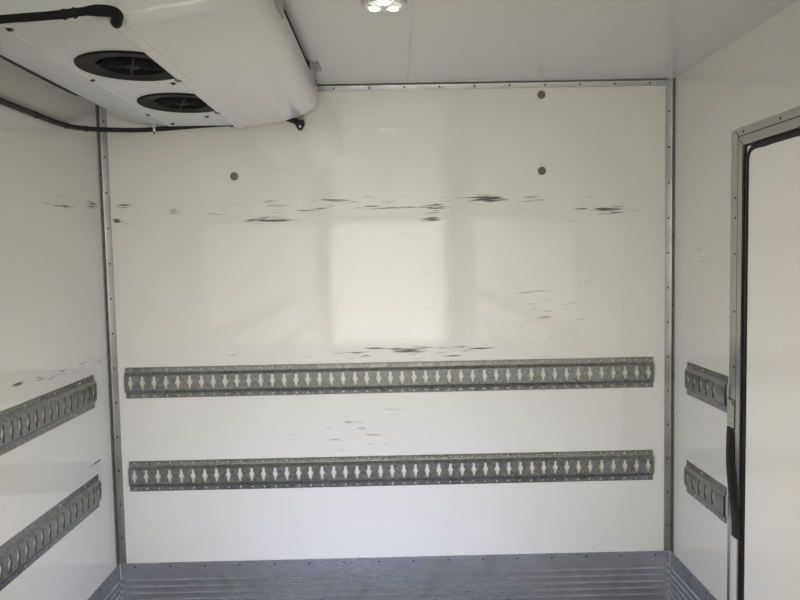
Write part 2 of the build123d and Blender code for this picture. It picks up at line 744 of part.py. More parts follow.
def plate():
    """White bottom plate: two fan holes, a crease, and a side folded up to the ceiling."""
    fold = [(UNIT_X0, CEILING), (UNIT_X0, UNIT_BASE + TRAY_RISE), (TRAY_CREASE_X, UNIT_BASE)]
    inside = [
        (TRAY_CREASE_X, UNIT_BASE + UNIT_SHEET), (UNIT_X0 + UNIT_SHEET, UNIT_BASE + TRAY_RISE + UNIT_SHEET),
        (UNIT_X0 + UNIT_SHEET, CEILING),
    ]
    outline = [*fold, (UNIT_SEAM_X, UNIT_BASE), (UNIT_SEAM_X, UNIT_BASE + UNIT_SHEET), *inside]
    sheet = prism(outline, FACING, -UNIT_FRONT, -UNIT_REAR)
    for y in (UNIT_FRONT, UNIT_REAR + UNIT_SHEET):
        end = [*fold, (UNIT_SEAM_X, UNIT_BASE), (UNIT_SEAM_X, CEILING)]
        sheet += prism(end, FACING, -y, -y + UNIT_SHEET)
    for y in FAN_YS:
        sheet -= rod(FAN_HOLE_R, (FAN_X, y, UNIT_BASE - 1), (FAN_X, y, UNIT_BASE + UNIT_SHEET + 1))
    return sheet


GUARD_LOW = UNIT_BASE - GUARD_STANDS


def flat_ring(outer, inner, low, high):
    """Flat ring about the Z axis, made of short straight pieces."""
    face = RegularPolygon(outer, RING_FLATS) - RegularPolygon(inner, RING_FLATS)
    return extrude(Plane.XY.offset(low) * face, amount=high - low)


def guard(y):
    """Round fan guard of rings and spokes, with the motor in its middle."""
    low, high = GUARD_LOW, GUARD_LOW + GUARD_THICK
    shape = flat_ring(FAN_HOLE_R + GUARD_FLANGE, FAN_R - GUARD_RIM, GUARD_LOW, UNIT_BASE)
    shape += flat_ring(FAN_HOLE_R - RUN_CLEAR, FAN_R - GUARD_RIM / 2, UNIT_BASE - 1, UNIT_BASE + GUARD_TUBE)
    for r in spaced(HUB_R + RING_GAP, FAN_R - GUARD_RIM - RING_GAP, RING_COUNT):
        shape += flat_ring(r + RING_THICK / 2, r - RING_THICK / 2, low, low + RING_THICK)
    for i in range(SPOKE_COUNT):
        arm = block((HUB_R - RING_THICK, FAN_R - RING_THICK), (-RING_THICK, RING_THICK), (low, high))
        shape += Rot(0, 0, 360 / SPOKE_COUNT * i + SPOKE_TURN) * arm
    shape += rod(HUB_R, (0, 0, low), (0, 0, ROTOR_START - RUN_CLEAR), RING_FLATS)
    return Pos(FAN_X, y, 0) * shape


ROTOR_START = GUARD_LOW + GUARD_THICK + ROTOR_GAP


def rotor(radius, hub, blades, length):
    """Fan rotor: hub and pitched blades, standing on the XY plane."""
    shape = rod(hub, (0, 0, 0), (0, 0, length), FINE_FLATS)
    root = hub * cos(pi / FINE_FLATS) - BLADE_ROOT
    span = radius - root
    for i in range(blades):
        blade = Rot(BLADE_PITCH, 0, 0) * Box(span, radius * BLADE_SHARE, BLADE_THICK)
        shape += Rot(0, 0, 360 / blades * (i + 0.5)) * (Pos(root + span / 2, 0, length / 2) * blade)
    return shape


def outlet_grille():
    """Backing and two bars of the outlet, in the slot between the cowl and the ceiling."""
    right = UNIT_X1 - GRILLE_INSET
    left = right - GRILLE_THICK
    along = (UNIT_REAR + GRILLE_END, UNIT_FRONT - GRILLE_END)
    low = CEILING - UNIT_SLOT - GRILLE_LAP
    shape = block((left, left + GRILLE_THICK / 2), along, (low, CEILING))
    for z in (low, CEILING - GRILLE_BAR):
        shape += block((left, right), along, (z, z + GRILLE_BAR))
    return shape


def hanger(y):
    """Ceiling angle that holds the cowl side of the evaporator."""
    near, far = y - HANGER_LENGTH / 2, y + HANGER_LENGTH / 2
    shape = block((UNIT_X1, UNIT_X1 + HANGER_THICK), (near, far), (CEILING - UNIT_SLOT - HANGER_LAP, CEILING))
    return shape + block((UNIT_X1, UNIT_X1 + HANGER_FOOT), (near, far), (CEILING - HANGER_THICK, CEILING))


# Cooling unit on the nose

NOSE_TOP = ROOF_TOP - NOSE_TOP_DROP
NOSE_LOW = NOSE_TOP - NOSE_HEIGHT
NOSE_BACK = FRONT_OUT + NOSE_FRAME
NOSE_FRONT = NOSE_BACK + NOSE_DEPTH
NOSE_MIDDLE = (NOSE_TOP + NOSE_LOW) / 2
SHELF_TOP = NOSE_LOW + NOSE_SHELF_RISE
CONDENSER_FRONT = NOSE_FRONT - CONDENSER_INSET
CONDENSER_ROTOR = CONDENSER_FRONT - CONDENSER_THICK - CONDENSER_FAN_GAP - HUB_LENGTH
CONDENSER_FAN_Z = NOSE_MIDDLE + CONDENSER_FAN_RISE


def nose_housing():
    """Hollow rounded cover with louvre slots in its face and open underneath."""
    half = NOSE_WIDTH / 2
    shell = block((-half, half), (NOSE_BACK, NOSE_FRONT), (NOSE_LOW, NOSE_TOP))
    front_edges = shell.faces().sort_by(Axis.Y)[-1].edges()
    shell = fillet(front_edges, NOSE_CORNER)
    cavity = block((-half + NOSE_SHEET, half - NOSE_SHEET), (NOSE_BACK - 1, NOSE_FRONT - NOSE_SHEET),
                   (NOSE_LOW + NOSE_SHEET, NOSE_TOP - NOSE_SHEET))
    cavity_edges = cavity.faces().sort_by(Axis.Y)[-1].edges()
    cavity = fillet(cavity_edges, NOSE_CORNER - NOSE_SHEET)
    shell -= cavity
    for i in range(LOUVRE_COUNT):
        z = NOSE_MIDDLE - LOUVRE_DROP + i * LOUVRE_PITCH
        for side in (-1, 1):
            shell -= block((side * LOUVRE_BAR, side * (half - LOUVRE_INSET)),
                           (NOSE_FRONT - LOUVRE_CUT, NOSE_FRONT + 1), (z, z + LOUVRE_OPEN))
    return shell


def nose_frame():
    """Steel frame on the front wall, with the shelf and the posts that carry the fan motors."""
    half = NOSE_WIDTH / 2
    frame = block((-half, half), (FRONT_OUT, NOSE_BACK), (NOSE_LOW, NOSE_TOP))
    frame -= block((-half + NOSE_BAR, half - NOSE_BAR), (FRONT_OUT - 1, NOSE_BACK + 1), (NOSE_LOW + NOSE_BAR, NOSE_TOP - NOSE_BAR))
    reach = half - NOSE_SHELF_INSET
    frame += block((-reach, reach), (NOSE_BACK - 1, CONDENSER_FRONT), (SHELF_TOP - NOSE_SHELF, SHELF_TOP))
    for side in (-1, 1):
        x = side * NOSE_FAN_SPREAD / 2
        back = CONDENSER_ROTOR - MOTOR_LENGTH
        frame += rod(HUB_R, (x, back, CONDENSER_FAN_Z), (x, CONDENSER_ROTOR - RUN_CLEAR, CONDENSER_FAN_Z), FINE_FLATS)
        frame += block((x - MOTOR_POST / 2, x + MOTOR_POST / 2), (back, back + NOSE_SHELF), (SHELF_TOP - 1, CONDENSER_FAN_Z))
    return frame


def pipe_route(points, radius):
    """Pipe of straight runs joined by the largest tangent arcs that fit."""
    radii = []
    for i in range(1, len(points) - 1):
        before = Vector(*points[i]) - Vector(*points[i - 1])
        after = Vector(*points[i + 1]) - Vector(*points[i])
        turn = radians(before.get_angle(after))
        radii.append(PIPE_BEND * min(before.length, after.length) / max(1e-6, tan(turn / 2)))
    path = FilletPolyline(*[Vector(*p) for p in points], radius=radii)
    start = Vector(*points[0])
    along = Vector(*points[1]) - start
    face = Plane(origin=start, z_dir=along) * RegularPolygon(radius, PIPE_FLATS)
    print("bend radii", [round(r) for r in radii], "length", round(path.length))
    return sweep(face, path=path)


PIPE_POINTS = [
    (LEFT_IN + 578, UNIT_REAR, CEILING - 158),
    (LEFT_IN + 578, UNIT_REAR - 28, CEILING - 158),
    (LEFT_IN + 545, UNIT_REAR - 50, CEILING - 165),
    (LEFT_IN + 490, UNIT_REAR - 58, CEILING - 174),
    (LEFT_IN + 420, UNIT_REAR - 58, CEILING - 187),
    (LEFT_IN + 352, UNIT_REAR - 62, CEILING - 197),
    (LEFT_IN + 270, UNIT_REAR - 70, CEILING - 206),
    (LEFT_IN + 180, UNIT_REAR - 80, CEILING - 216),
    (LEFT_IN + 90, UNIT_REAR - 90, CEILING - 220),
    (LEFT_IN, UNIT_REAR - 90, CEILING - 220),
]
CABLE_POINTS = [
    (LEFT_IN + CABLE_R + 4.0, UNIT_REAR - 60, CEILING - 205),
    (LEFT_IN + CABLE_R + 1.0, UNIT_REAR + 240, CEILING - 214),
    (LEFT_IN + CABLE_R + 0.4, UNIT_REAR + 560, CEILING - 217.5),
    (LEFT_IN + CABLE_R + 0.8, UNIT_REAR + 855, CEILING - 217),
    (LEFT_IN + CABLE_R + 2.0, UNIT_FRONT - 285, CEILING - 215),
    (LEFT_IN + 44, UNIT_FRONT - 200, CEILING - 210.5),
    (LEFT_IN + 115, UNIT_FRONT - 106, CEILING - 200),
    (LEFT_IN + 186, UNIT_FRONT - 22, CEILING - 187),
    (LEFT_IN + 262, FRONT_IN - CABLE_R - 13, CEILING - 175),
    (LEFT_IN + 360, FRONT_IN - CABLE_R - 0.5, CEILING - 166),
    (LEFT_IN + 460, FRONT_IN - CABLE_R - 3, CEILING - 160),
    (LEFT_IN + 558, FRONT_IN - CABLE_R - 8, CEILING - 157.5),
]


def plug(x, z):
    """Round plug over a bolt through the front wall."""
    return rod(PLUG_R, (x, FRONT_IN, z), (x, FRONT_IN - PLUG_RISE, z), FINE_FLATS)


def build():
    """Make every node and write it."""
    os.makedirs("parts", exist_ok=True)

    write("subframe", subframe())
    write("cross_beams", *cross_beams())
    write("fixing_consoles", *[console(side, y) for side in (-1, 1) for y in CONSOLE_PLACES])
    floor_panel = block((-HALF_IN, HALF_IN), (REAR_IN, FRONT_IN), (FLOOR_BASE, FLOOR_TOP))
    write("floor_panel", floor_panel)
    tread = block((-HALF_IN, HALF_IN), (REAR_IN, FRONT_IN), (FLOOR_TOP, FLOOR_TOP + TREAD_THICK))
    write("floor_tread", tread)
    write("front_wall", block((-HALF_IN, HALF_IN), (FRONT_IN, FRONT_OUT), (FLOOR_TOP, CEILING)))
    write("left_wall", side_wall(-1))
    write("right_wall", right_wall())
    write("roof_panel", block((-HALF_IN, HALF_IN), (REAR_IN, FRONT_IN), (CEILING, ROOF_TOP)))
    write("roof_edges", edge_loop(CEILING, ROOF_TOP, True))
    write("base_edges", edge_loop(FLOOR_BASE, FLOOR_TOP, False))
    write("corner_posts", corner_post(-1), corner_post(1))

    write("rear_portal", portal())
    write("rear_leaf_left", rear_leaf(-1))
    write("rear_leaf_right", rear_leaf(1))
    write("rear_seal_left", rear_seal(-1))
    write("rear_seal_right", rear_seal(1))
    lugs = []
    heights = spaced(LEAF_LOW + HINGE_INSET, LEAF_HIGH - HINGE_INSET, REAR_HINGES)
    reach = OPEN_HALF + REAR_PIN_OUT - ROD_INSET
    for side, word in ((-1, "left"), (1, "right")):
        place = rear_place(side)
        straps = []
        for z in heights:
            strap, lug = hinge_parts(place, REAR_PIN_OUT, REAR_PIN_BACK, 0, z)
            straps.append(strap)
            lugs += lug
        straps.append(lock_rod(place, REAR_PIN_BACK, LEAF_LOW, LEAF_HIGH, reach))
        write("rear_hardware_" + word, *straps)
        lugs += keepers(place, REAR_PIN_BACK, reach)
    write("portal_fittings", *lugs)

    write("side_door_frame", side_frame())
    write("side_leaf", side_leaf())
    write("side_seal", side_seal())
    straps, side_lugs = [], []
    for z in spaced(SIDE_LOW + HINGE_INSET, SIDE_HIGH - HINGE_INSET, SIDE_HINGES):
        strap, lug = hinge_parts(side_place, SIDE_PIN_OUT, SIDE_PIN_BACK, TRIM_THICK, z)
        straps.append(strap)
        side_lugs += lug
    write("side_door_lugs", *side_lugs)
    side_reach = SIDE_PIN_OUT + DOOR_WIDTH - ROD_INSET
    straps.append(lock_rod(side_place, SIDE_PIN_BACK, SIDE_LOW + ROD_REACH, SIDE_HIGH - ROD_REACH, side_reach))
    write("side_hardware", *straps)

    write("inner_trims", angle_trim(-1), angle_trim(1), top_trim())
    write("kick_plates", *kick_plates())
    write("front_tracks", *[front_track(d) for d in TRACK_DROPS])
    sides = []
    rear_end = REAR_IN + TRACK_END_GAP
    for d in TRACK_DROPS:
        left_start = FRONT_IN - LEFT_TRACK_START
        sides.append(side_track(-1, left_start, left_start - rear_end, 0, d))
        right_start = FRONT_IN - RIGHT_TRACK_START
        sides.append(side_track(1, right_start, RIGHT_TRACK_LENGTH, RIGHT_TRACK_SLOTS, d))
        behind = DOOR_REAR - TRIM_WIDTH - TRACK_END_GAP
        sides.append(side_track(1, behind, behind - rear_end, 0, d))
    write("side_tracks", *sides)
    plugs = [plug(side * PLUG_SPREAD / 2, CEILING - d) for side in (-1, 1) for d in PLUG_DROPS]
    write("wall_plugs", *plugs)
    lamps = []
    count = int((INSIDE_LENGTH - LAMP_FROM_FRONT - LAMP_FROM_REAR) // LAMP_PITCH) + 1
    for i in range(count):
        y = FRONT_IN - LAMP_FROM_FRONT - i * LAMP_PITCH
        lamps.append(rod(LAMP_R, (0, y, CEILING - LAMP_RISE), (0, y, CEILING), RING_FLATS))
    write("ceiling_lamps", *lamps)
    markers = []
    for side in (-1, 1):
        z = (FLOOR_BASE + FLOOR_TOP) / 2
        for y in spaced(FRONT_IN - MARKER_FROM_FRONT, REAR_IN + MARKER_FROM_REAR, MARKER_COUNT):
            markers.append(block((side * HALF_OUT, side * (HALF_OUT + MARKER_RISE)),
                                 (y - MARKER_LENGTH / 2, y + MARKER_LENGTH / 2),
                                 (z - MARKER_HEIGHT / 2, z + MARKER_HEIGHT / 2)))
        outer = HALF_OUT - TOP_LAMP_INSET
        top = ROOF_TOP - TOP_LAMP_DROP
        markers.append(block((side * outer, side * (outer - TOP_LAMP_LENGTH)), (REAR_OUT, REAR_OUT - TOP_LAMP_DEPTH),
                             (top - TOP_LAMP_HEIGHT, top)))
    write("marker_lamps", *markers)

    write("evaporator_case", cowl())
    write("evaporator_plate", plate())
    write("fan_guards", *[guard(y) for y in FAN_YS])
    blades = FAN_R - GUARD_RIM / 2 - BLADE_CLEAR
    for y, word in zip(FAN_YS, ("front", "rear")):
        write("evaporator_rotor_" + word, Pos(FAN_X, y, ROTOR_START) * rotor(blades, HUB_R, BLADE_COUNT, HUB_LENGTH))
    coil = block((UNIT_SEAM_X + COIL_INSET, UNIT_X1 - COIL_INSET), (UNIT_REAR + UNIT_SHEET, UNIT_FRONT - UNIT_SHEET),
                 (UNIT_BASE + COIL_RISE, CEILING - UNIT_SLOT))
    write("evaporator_coil", coil)
    write("evaporator_hangers", *[hanger(y) for y in (UNIT_FRONT - HANGER_INSET, UNIT_REAR + HANGER_INSET)])
    write("outlet_grille", outlet_grille())
    write("refrigerant_pipe", pipe_route(PIPE_POINTS, PIPE_R))
    write("fan_cable", pipe_route(CABLE_POINTS, CABLE_R))

    write("nose_housing", nose_housing())
    write("nose_frame", nose_frame())
    write("condenser_coil", block((-CONDENSER_SPREAD / 2, CONDENSER_SPREAD / 2),
                                  (CONDENSER_FRONT - CONDENSER_THICK, CONDENSER_FRONT),
                                  (SHELF_TOP, SHELF_TOP + CONDENSER_HEIGHT)))
    for side, word in ((-1, "left"), (1, "right")):
        x = side * NOSE_FAN_SPREAD / 2
        spin = Plane(origin=(x, CONDENSER_ROTOR, CONDENSER_FAN_Z), x_dir=(1, 0, 0), z_dir=(0, 1, 0))
        write("condenser_rotor_" + word, spin * rotor(NOSE_FAN_R, HUB_R, BLADE_COUNT, HUB_LENGTH))
    drive_back = NOSE_BACK + DRIVE_GAP
    write("drive_block", block((-DRIVE_WIDTH / 2, DRIVE_WIDTH / 2), (drive_back, drive_back + DRIVE_DEPTH),
                               (SHELF_TOP, SHELF_TOP + DRIVE_HEIGHT)))


if __name__ == "__main__":
    build()
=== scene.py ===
"""Looks of an insulated refrigerated truck body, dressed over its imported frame.

Metres. +Y is forward, +X is the kerb side and +Z is up, as in the frame.
Places inside are measured as a fitter would: from the left wall, from the
front wall and down from the ceiling.
"""

import logging
import math
from collections.abc import Callable, Iterable, Sequence
from dataclasses import dataclass
from enum import Enum

import bmesh
import bpy
from bpy.types import Material, Mesh, Node, NodeSocket, NodeTree, Object
from mathutils import Matrix, Vector


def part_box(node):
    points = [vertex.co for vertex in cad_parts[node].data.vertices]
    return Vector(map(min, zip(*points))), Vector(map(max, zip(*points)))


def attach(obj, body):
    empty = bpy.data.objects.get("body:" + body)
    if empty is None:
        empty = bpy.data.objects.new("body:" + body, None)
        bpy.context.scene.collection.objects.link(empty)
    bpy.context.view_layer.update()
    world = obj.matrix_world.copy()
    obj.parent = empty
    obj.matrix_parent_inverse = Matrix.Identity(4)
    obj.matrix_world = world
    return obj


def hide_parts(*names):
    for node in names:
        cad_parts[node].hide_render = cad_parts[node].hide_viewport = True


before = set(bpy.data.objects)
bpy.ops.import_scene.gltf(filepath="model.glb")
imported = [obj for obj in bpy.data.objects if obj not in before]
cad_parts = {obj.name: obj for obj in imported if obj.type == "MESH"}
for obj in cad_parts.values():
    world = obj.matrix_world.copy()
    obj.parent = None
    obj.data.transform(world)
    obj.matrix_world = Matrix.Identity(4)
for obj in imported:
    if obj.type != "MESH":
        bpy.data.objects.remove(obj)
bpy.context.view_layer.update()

log = logging.getLogger("box_body")

Triple = tuple[float, float, float]
Colour = Triple
Flat = tuple[float, float]
Spots = Sequence[tuple[Vector, Vector]]
BODY = "load_body"
SEED = 7
FULL_TURN = 6.28
UP, DOWN = Vector((0.0, 0.0, 1.0)), Vector((0.0, 0.0, -1.0))
AHEAD, BACK = Vector((0.0, 1.0, 0.0)), Vector((0.0, -1.0, 0.0))
KERB, ROAD = Vector((1.0, 0.0, 0.0)), Vector((-1.0, 0.0, 0.0))
ORIGIN = Vector((0.0, 0.0, 0.0))


class Side(Enum):
    """The two long sides of the body."""

    LEFT = -1
    RIGHT = 1

    @property
    def out(self) -> Vector:
        """The way out of the body on this side."""
        return Vector((self.value, 0.0, 0.0))

    @property
    def inwards(self) -> Vector:
        """The way into the body on this side."""
        return Vector((-self.value, 0.0, 0.0))


class Run(Enum):
    """The way along a wall: which coordinate grows along it, and its sign."""

    ACROSS = (0, 1.0)
    BACKWARDS = (1, -1.0)


# Places read from the frame


@dataclass(frozen=True)
class Room:
    """Inner limits of the body and its outer skin, read from the frame."""

    left: float
    right: float
    front: float
    rear: float
    floor: float
    ceiling: float
    outer_right: float
    outer_rear: float

    @classmethod
    def from_frame(cls) -> "Room":
        """Read the limits from the panels.

        Returns:
            The room between the panels, and the outer skin.
        """
        left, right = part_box("left_wall"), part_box("right_wall")
        return cls(
            left=left[1].x, right=right[0].x, front=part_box("front_wall")[0].y, rear=left[0].y,
            floor=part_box("floor_tread")[1].z, ceiling=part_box("roof_panel")[0].z,
            outer_right=right[1].x, outer_rear=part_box("rear_portal")[0].y,
        )

    def at(self, from_left: float, from_front: float, drop: float) -> Vector:
        """A place inside, from the left wall, the front wall and the ceiling."""
        return Vector((self.left + from_left, self.front - from_front, self.ceiling - drop))


# Node trees


class Book:
    """Short hand for writing a node tree."""

    def __init__(self, tree: NodeTree, material: Material | None = None) -> None:
        """Keep the tree that is written to, and its material."""
        self.tree = tree
        self.material = material

    def node(self, kind: str, values: dict | None = None, **settings) -> Node:
        """Add one node.

        Args:
            kind: Blender's name of the node.
            values: Socket name or number to a value or an output socket.
            **settings: Attributes of the node itself.

        Returns:
            The new node.
        """
        node = self.tree.nodes.new(kind)
        for name, value in settings.items():
            setattr(node, name, value)
        for key, value in (values or {}).items():
            self.feed(node.inputs[key], value)
        return node

    def feed(self, socket: NodeSocket, value) -> None:
        """Link a socket, or set its value."""
        if isinstance(value, NodeSocket):
            self.tree.links.new(value, socket)
        else:
            socket.default_value = value

    def coat(self, shader: Node, colour, rough, normal) -> None:
        """Feed the shader's colour, roughness and normal."""
        for name, value in (("Base Color", colour), ("Roughness", rough), ("Normal", normal)):
            self.feed(shader.inputs[name], value)

    def math(self, operation: str, a, b=0.0, clamp: bool = False):
        """One sum of two values."""
        return self.node("ShaderNodeMath", {0: a, 1: b}, operation=operation, use_clamp=clamp).outputs[0]

    def scaled(self, vector, factors: Triple, shift: Triple = (0, 0, 0)):
        """A vector multiplied axis by axis, then shifted."""
        node = self.node("ShaderNodeVectorMath", {0: vector, 1: factors, 2: shift}, operation="MULTIPLY_ADD")
        return node.outputs[0]

    def length(self, vector):
        """Length of a vector."""
        return self.node("ShaderNodeVectorMath", {0: vector}, operation="LENGTH").outputs["Value"]

    def span(self, value, low: float, high: float, start=0.0, end=1.0, smooth: bool = True):
        """Map a value between two limits to another pair, and hold it there."""
        kind = "SMOOTHSTEP" if smooth else "LINEAR"
        node = self.node("ShaderNodeMapRange", {0: value, 1: low, 2: high, 3: start, 4: end},
                         interpolation_type=kind)
        return node.outputs[0]

    def mix(self, share, a, b):
        """Blend two colours."""
        node = self.node("ShaderNodeMix", {0: share, 6: a, 7: b}, data_type="RGBA")
        return node.outputs[2]

    def noise(self, vector, scale: float, detail: float = 2.0, rough: float = 0.5, bend: float = 0.0):
        """Cloudy noise between nought and one."""
        values = {"Vector": vector, "Scale": scale, "Detail": detail, "Roughness": rough, "Distortion": bend}
        return self.node("ShaderNodeTexNoise", values).outputs[0]

    def bump(self, height, strength: float, distance: float, under=None):
        """A normal from a height, on top of another one."""
        values = {"Height": height, "Strength": strength, "Distance": distance}
        if under is not None:
            values["Normal"] = under
        return self.node("ShaderNodeBump", values).outputs[0]

    def group(self, tree: NodeTree, values: dict) -> Node:
        """Place a shared group with its own values."""
        node = self.tree.nodes.new("ShaderNodeGroup")
        node.node_tree = tree
        for key, value in values.items():
            self.feed(node.inputs[key], value)
        return node


def node_group(name: str, kind: str, inputs: dict[str, str], outputs: dict[str, str],
               write: Callable[[Book, Node], dict]) -> NodeTree:
    """A node group that is built the first time it is asked for.

    Args:
        name: Name of the group.
        kind: What its nodes make, "Shader" or "Geometry".
        inputs: Input name to the kind of its socket.
        outputs: Output name to the kind of its socket.
        write: Writes the inside and returns output name to socket.

    Returns:
        The node group.
    """
    found = bpy.data.node_groups.get(name)
    if found:
        return found
    tree = bpy.data.node_groups.new(name, f"{kind}NodeTree")
    for way, sockets in (("INPUT", inputs), ("OUTPUT", outputs)):
        for label, socket in sockets.items():
            tree.interface.new_socket(label, in_out=way, socket_type=f"NodeSocket{socket}")
    book = Book(tree)
    book.node("NodeGroupOutput", write(book, book.node("NodeGroupInput")))
    return tree


def effect(name: str, outputs: Sequence[str], write: Callable[[Book, Node], dict]) -> NodeTree:
    """A shader effect that several finishes share: a vector goes in and values come out."""
    return node_group(name, "Shader", {"Vector": "Vector"}, dict.fromkeys(outputs, "Float"), write)


def streak_group() -> NodeTree:
    """Long thin marks in a row, for scuffs and wiping."""

    def write(book: Book, given: Node) -> dict:
        """Stretched noise: long soft runs, and the thin lines inside them."""
        flat = given.outputs["Vector"]
        runs = book.noise(book.scaled(flat, (7.0, 62.0, 0.0)), 1.0, 1.0, 0.5, 0.5)
        lines = book.noise(book.scaled(flat, (9.0, 215.0, 0.0), (3.1, 7.3, 0.0)), 1.0, 2.0, 0.66, 0.35)
        both = book.math("ADD", book.math("MULTIPLY", runs, 0.5), book.math("MULTIPLY", lines, 0.5))
        return {"Streaks": book.span(both, 0.34, 0.66, smooth=False)}

    return effect("thin streaks", ["Streaks"], write)


def grime_group() -> NodeTree:
    """Cloudy film of dirt with a few specks."""

    def write(book: Book, given: Node) -> dict:
        """Clouds at one size and dots at another."""
        place = given.outputs["Vector"]
        film = book.span(book.noise(place, 1.7, 5.0, 0.62, 0.4), 0.42, 0.78)
        cells = book.node("ShaderNodeTexVoronoi", {"Vector": place, "Scale": 8.0})
        speck = book.span(cells.outputs["Distance"], 0.035, 0.018)
        pick = book.node("ShaderNodeSeparateColor", {0: cells.outputs["Color"]})
        chosen = book.span(pick.outputs[0], 0.72, 0.74)
        return {"Film": film, "Specks": book.math("MULTIPLY", speck, chosen)}

    return effect("film and specks", ["Film", "Specks"], write)


def grain_group() -> NodeTree:
    """Fine lines along one axis, as rolled or brushed metal has."""

    def write(book: Book, given: Node) -> dict:
        """Noise that is drawn out along the grain."""
        place = given.outputs["Vector"]
        blots = book.noise(book.scaled(place, (0.03, 0.03, 0.03)), 1.0, 3.0, 0.6)
        return {"Lines": book.noise(place, 1.0, 3.0, 0.7), "Blots": blots}

    return effect("drawn grain", ["Lines", "Blots"], write)


def spangle_group() -> NodeTree:
    """Zinc crystals of a galvanised surface, with dull bloom over them."""

    def write(book: Book, given: Node) -> dict:
        """Cells of differing tone under cloudy bloom."""
        place = given.outputs["Vector"]
        cells = book.node("ShaderNodeTexVoronoi", {"Vector": place, "Scale": 130.0, "Randomness": 1.0})
        tone = book.node("ShaderNodeSeparateColor", {0: cells.outputs["Color"]}).outputs[0]
        return {"Tone": tone, "Bloom": book.span(book.noise(place, 14.0, 5.0, 0.65, 0.6), 0.45, 0.75)}

    return effect("zinc spangle", ["Tone", "Bloom"], write)


# Finishes


@dataclass(frozen=True)
class Finish:
    """A surface finish: what it is called, its colour and how rough it is."""

    name: str
    colour: Colour
    roughness: float = 0.5

    def material(self) -> Material:
        """The finish as a material, made the first time it is asked for."""
        found = bpy.data.materials.get(self.name)
        if found:
            return found
        made = bpy.data.materials.new(self.name)
        made.use_nodes = True
        made.node_tree.nodes.clear()
        book = Book(made.node_tree, made)
        shader = book.node("ShaderNodeBsdfPrincipled")
        book.node("ShaderNodeOutputMaterial", {"Surface": shader.outputs[0]})
        place = book.node("ShaderNodeTexCoord").outputs["Object"]
        self.paint(book, shader, place)
        return made

    def rgba(self, factor: float = 1.0) -> tuple[float, float, float, float]:
        """The colour, lighter or darker, with alpha."""
        return (*(min(1.0, c * factor) for c in self.colour), 1.0)

    def paint(self, book: Book, shader: Node, place) -> None:
        """Write the finish into its material."""
        raise NotImplementedError


@dataclass(frozen=True)
class Mark:
    """A scuffed place on a wall: where it is, its half sizes and how thick its lines lie."""

    along: float
    drop: float
    half_length: float
    half_height: float
    strength: float = 0.9

    def away(self, book: Book, flat, ceiling: float):
        """Distance from its middle in its own half sizes, more where it is faint."""
        wide, high = 1.0 / self.half_length, 1.0 / self.half_height
        shift = (-self.along * wide, (self.drop - ceiling) * high, 0.0)
        return book.math("ADD", book.length(book.scaled(flat, (wide, high, 0.0), shift)), 1.0 - self.strength)


@dataclass(frozen=True)
class Laminate(Finish):
    """Glossy white laminate of the panels, with the scuffs of one wall."""

    marks: tuple[Mark, ...] = ()
    run: Run = Run.ACROSS
    start: float = 0.0
    ceiling: float = 0.0
    inner: tuple[int, float] | None = None
    dirt: float = 0.5
    core: float = 0.22
    feather: float = 0.36
    dark: Colour = (0.045, 0.042, 0.036)

    def paint(self, book: Book, shader: Node, place) -> None:
        """Film of dirt, wiping marks and scuffs over a clear gloss."""
        axes = book.node("ShaderNodeSeparateXYZ", {0: place})
        index, sign = self.run.value
        along = book.math("MULTIPLY", book.math("SUBTRACT", axes.outputs[index], self.start), sign)
        flat = book.node("ShaderNodeCombineXYZ", {0: along, 1: axes.outputs[2]}).outputs[0]
        grime = book.group(grime_group(), {"Vector": flat if self.inner else place})
        streaks = book.group(streak_group(), {"Vector": flat}).outputs["Streaks"]
        worn = book.math("MULTIPLY", book.span(streaks, 0.86, 1.0), 0.12 * self.dirt)
        if self.marks:
            away = self.marks[0].away(book, flat, self.ceiling)
            for mark in self.marks[1:]:
                away = book.math("MINIMUM", away, mark.away(book, flat, self.ceiling))
            least = book.span(away, 0.0, 1.35, self.core, 1.0, smooth=False)
            scuffed = book.span(book.math("SUBTRACT", streaks, least), 0.0, self.feather)
            worn = book.math("MAXIMUM", worn, book.math("MULTIPLY", scuffed, 0.92))
        if self.inner:
            depth, face = self.inner
            off = book.math("ABSOLUTE", book.math("SUBTRACT", axes.outputs[depth], face))
            worn = book.math("MULTIPLY", worn, book.span(off, 0.002, 0.001, 0.0, 1.0))
        film = book.math("MULTIPLY", grime.outputs["Film"], 0.14 * self.dirt)
        yellowed = (*(c * share for c, share in zip(self.colour, (0.82, 0.8, 0.72))), 1.0)
        tint = book.mix(film, self.rgba(), yellowed)
        specks = book.math("MULTIPLY", grime.outputs["Specks"], 0.75 * self.dirt, clamp=True)
        tint = book.mix(book.math("MAXIMUM", worn, specks), tint, (*self.dark, 1.0))
        wiped = book.span(streaks, 0.2, 0.95, self.roughness, self.roughness + 0.07)
        rough = book.math("ADD", wiped, book.math("MULTIPLY", worn, 0.4), clamp=True)
        book.coat(shader, tint, rough, book.bump(book.noise(place, 2.3, 1.0, 0.4), 0.25, 0.004))


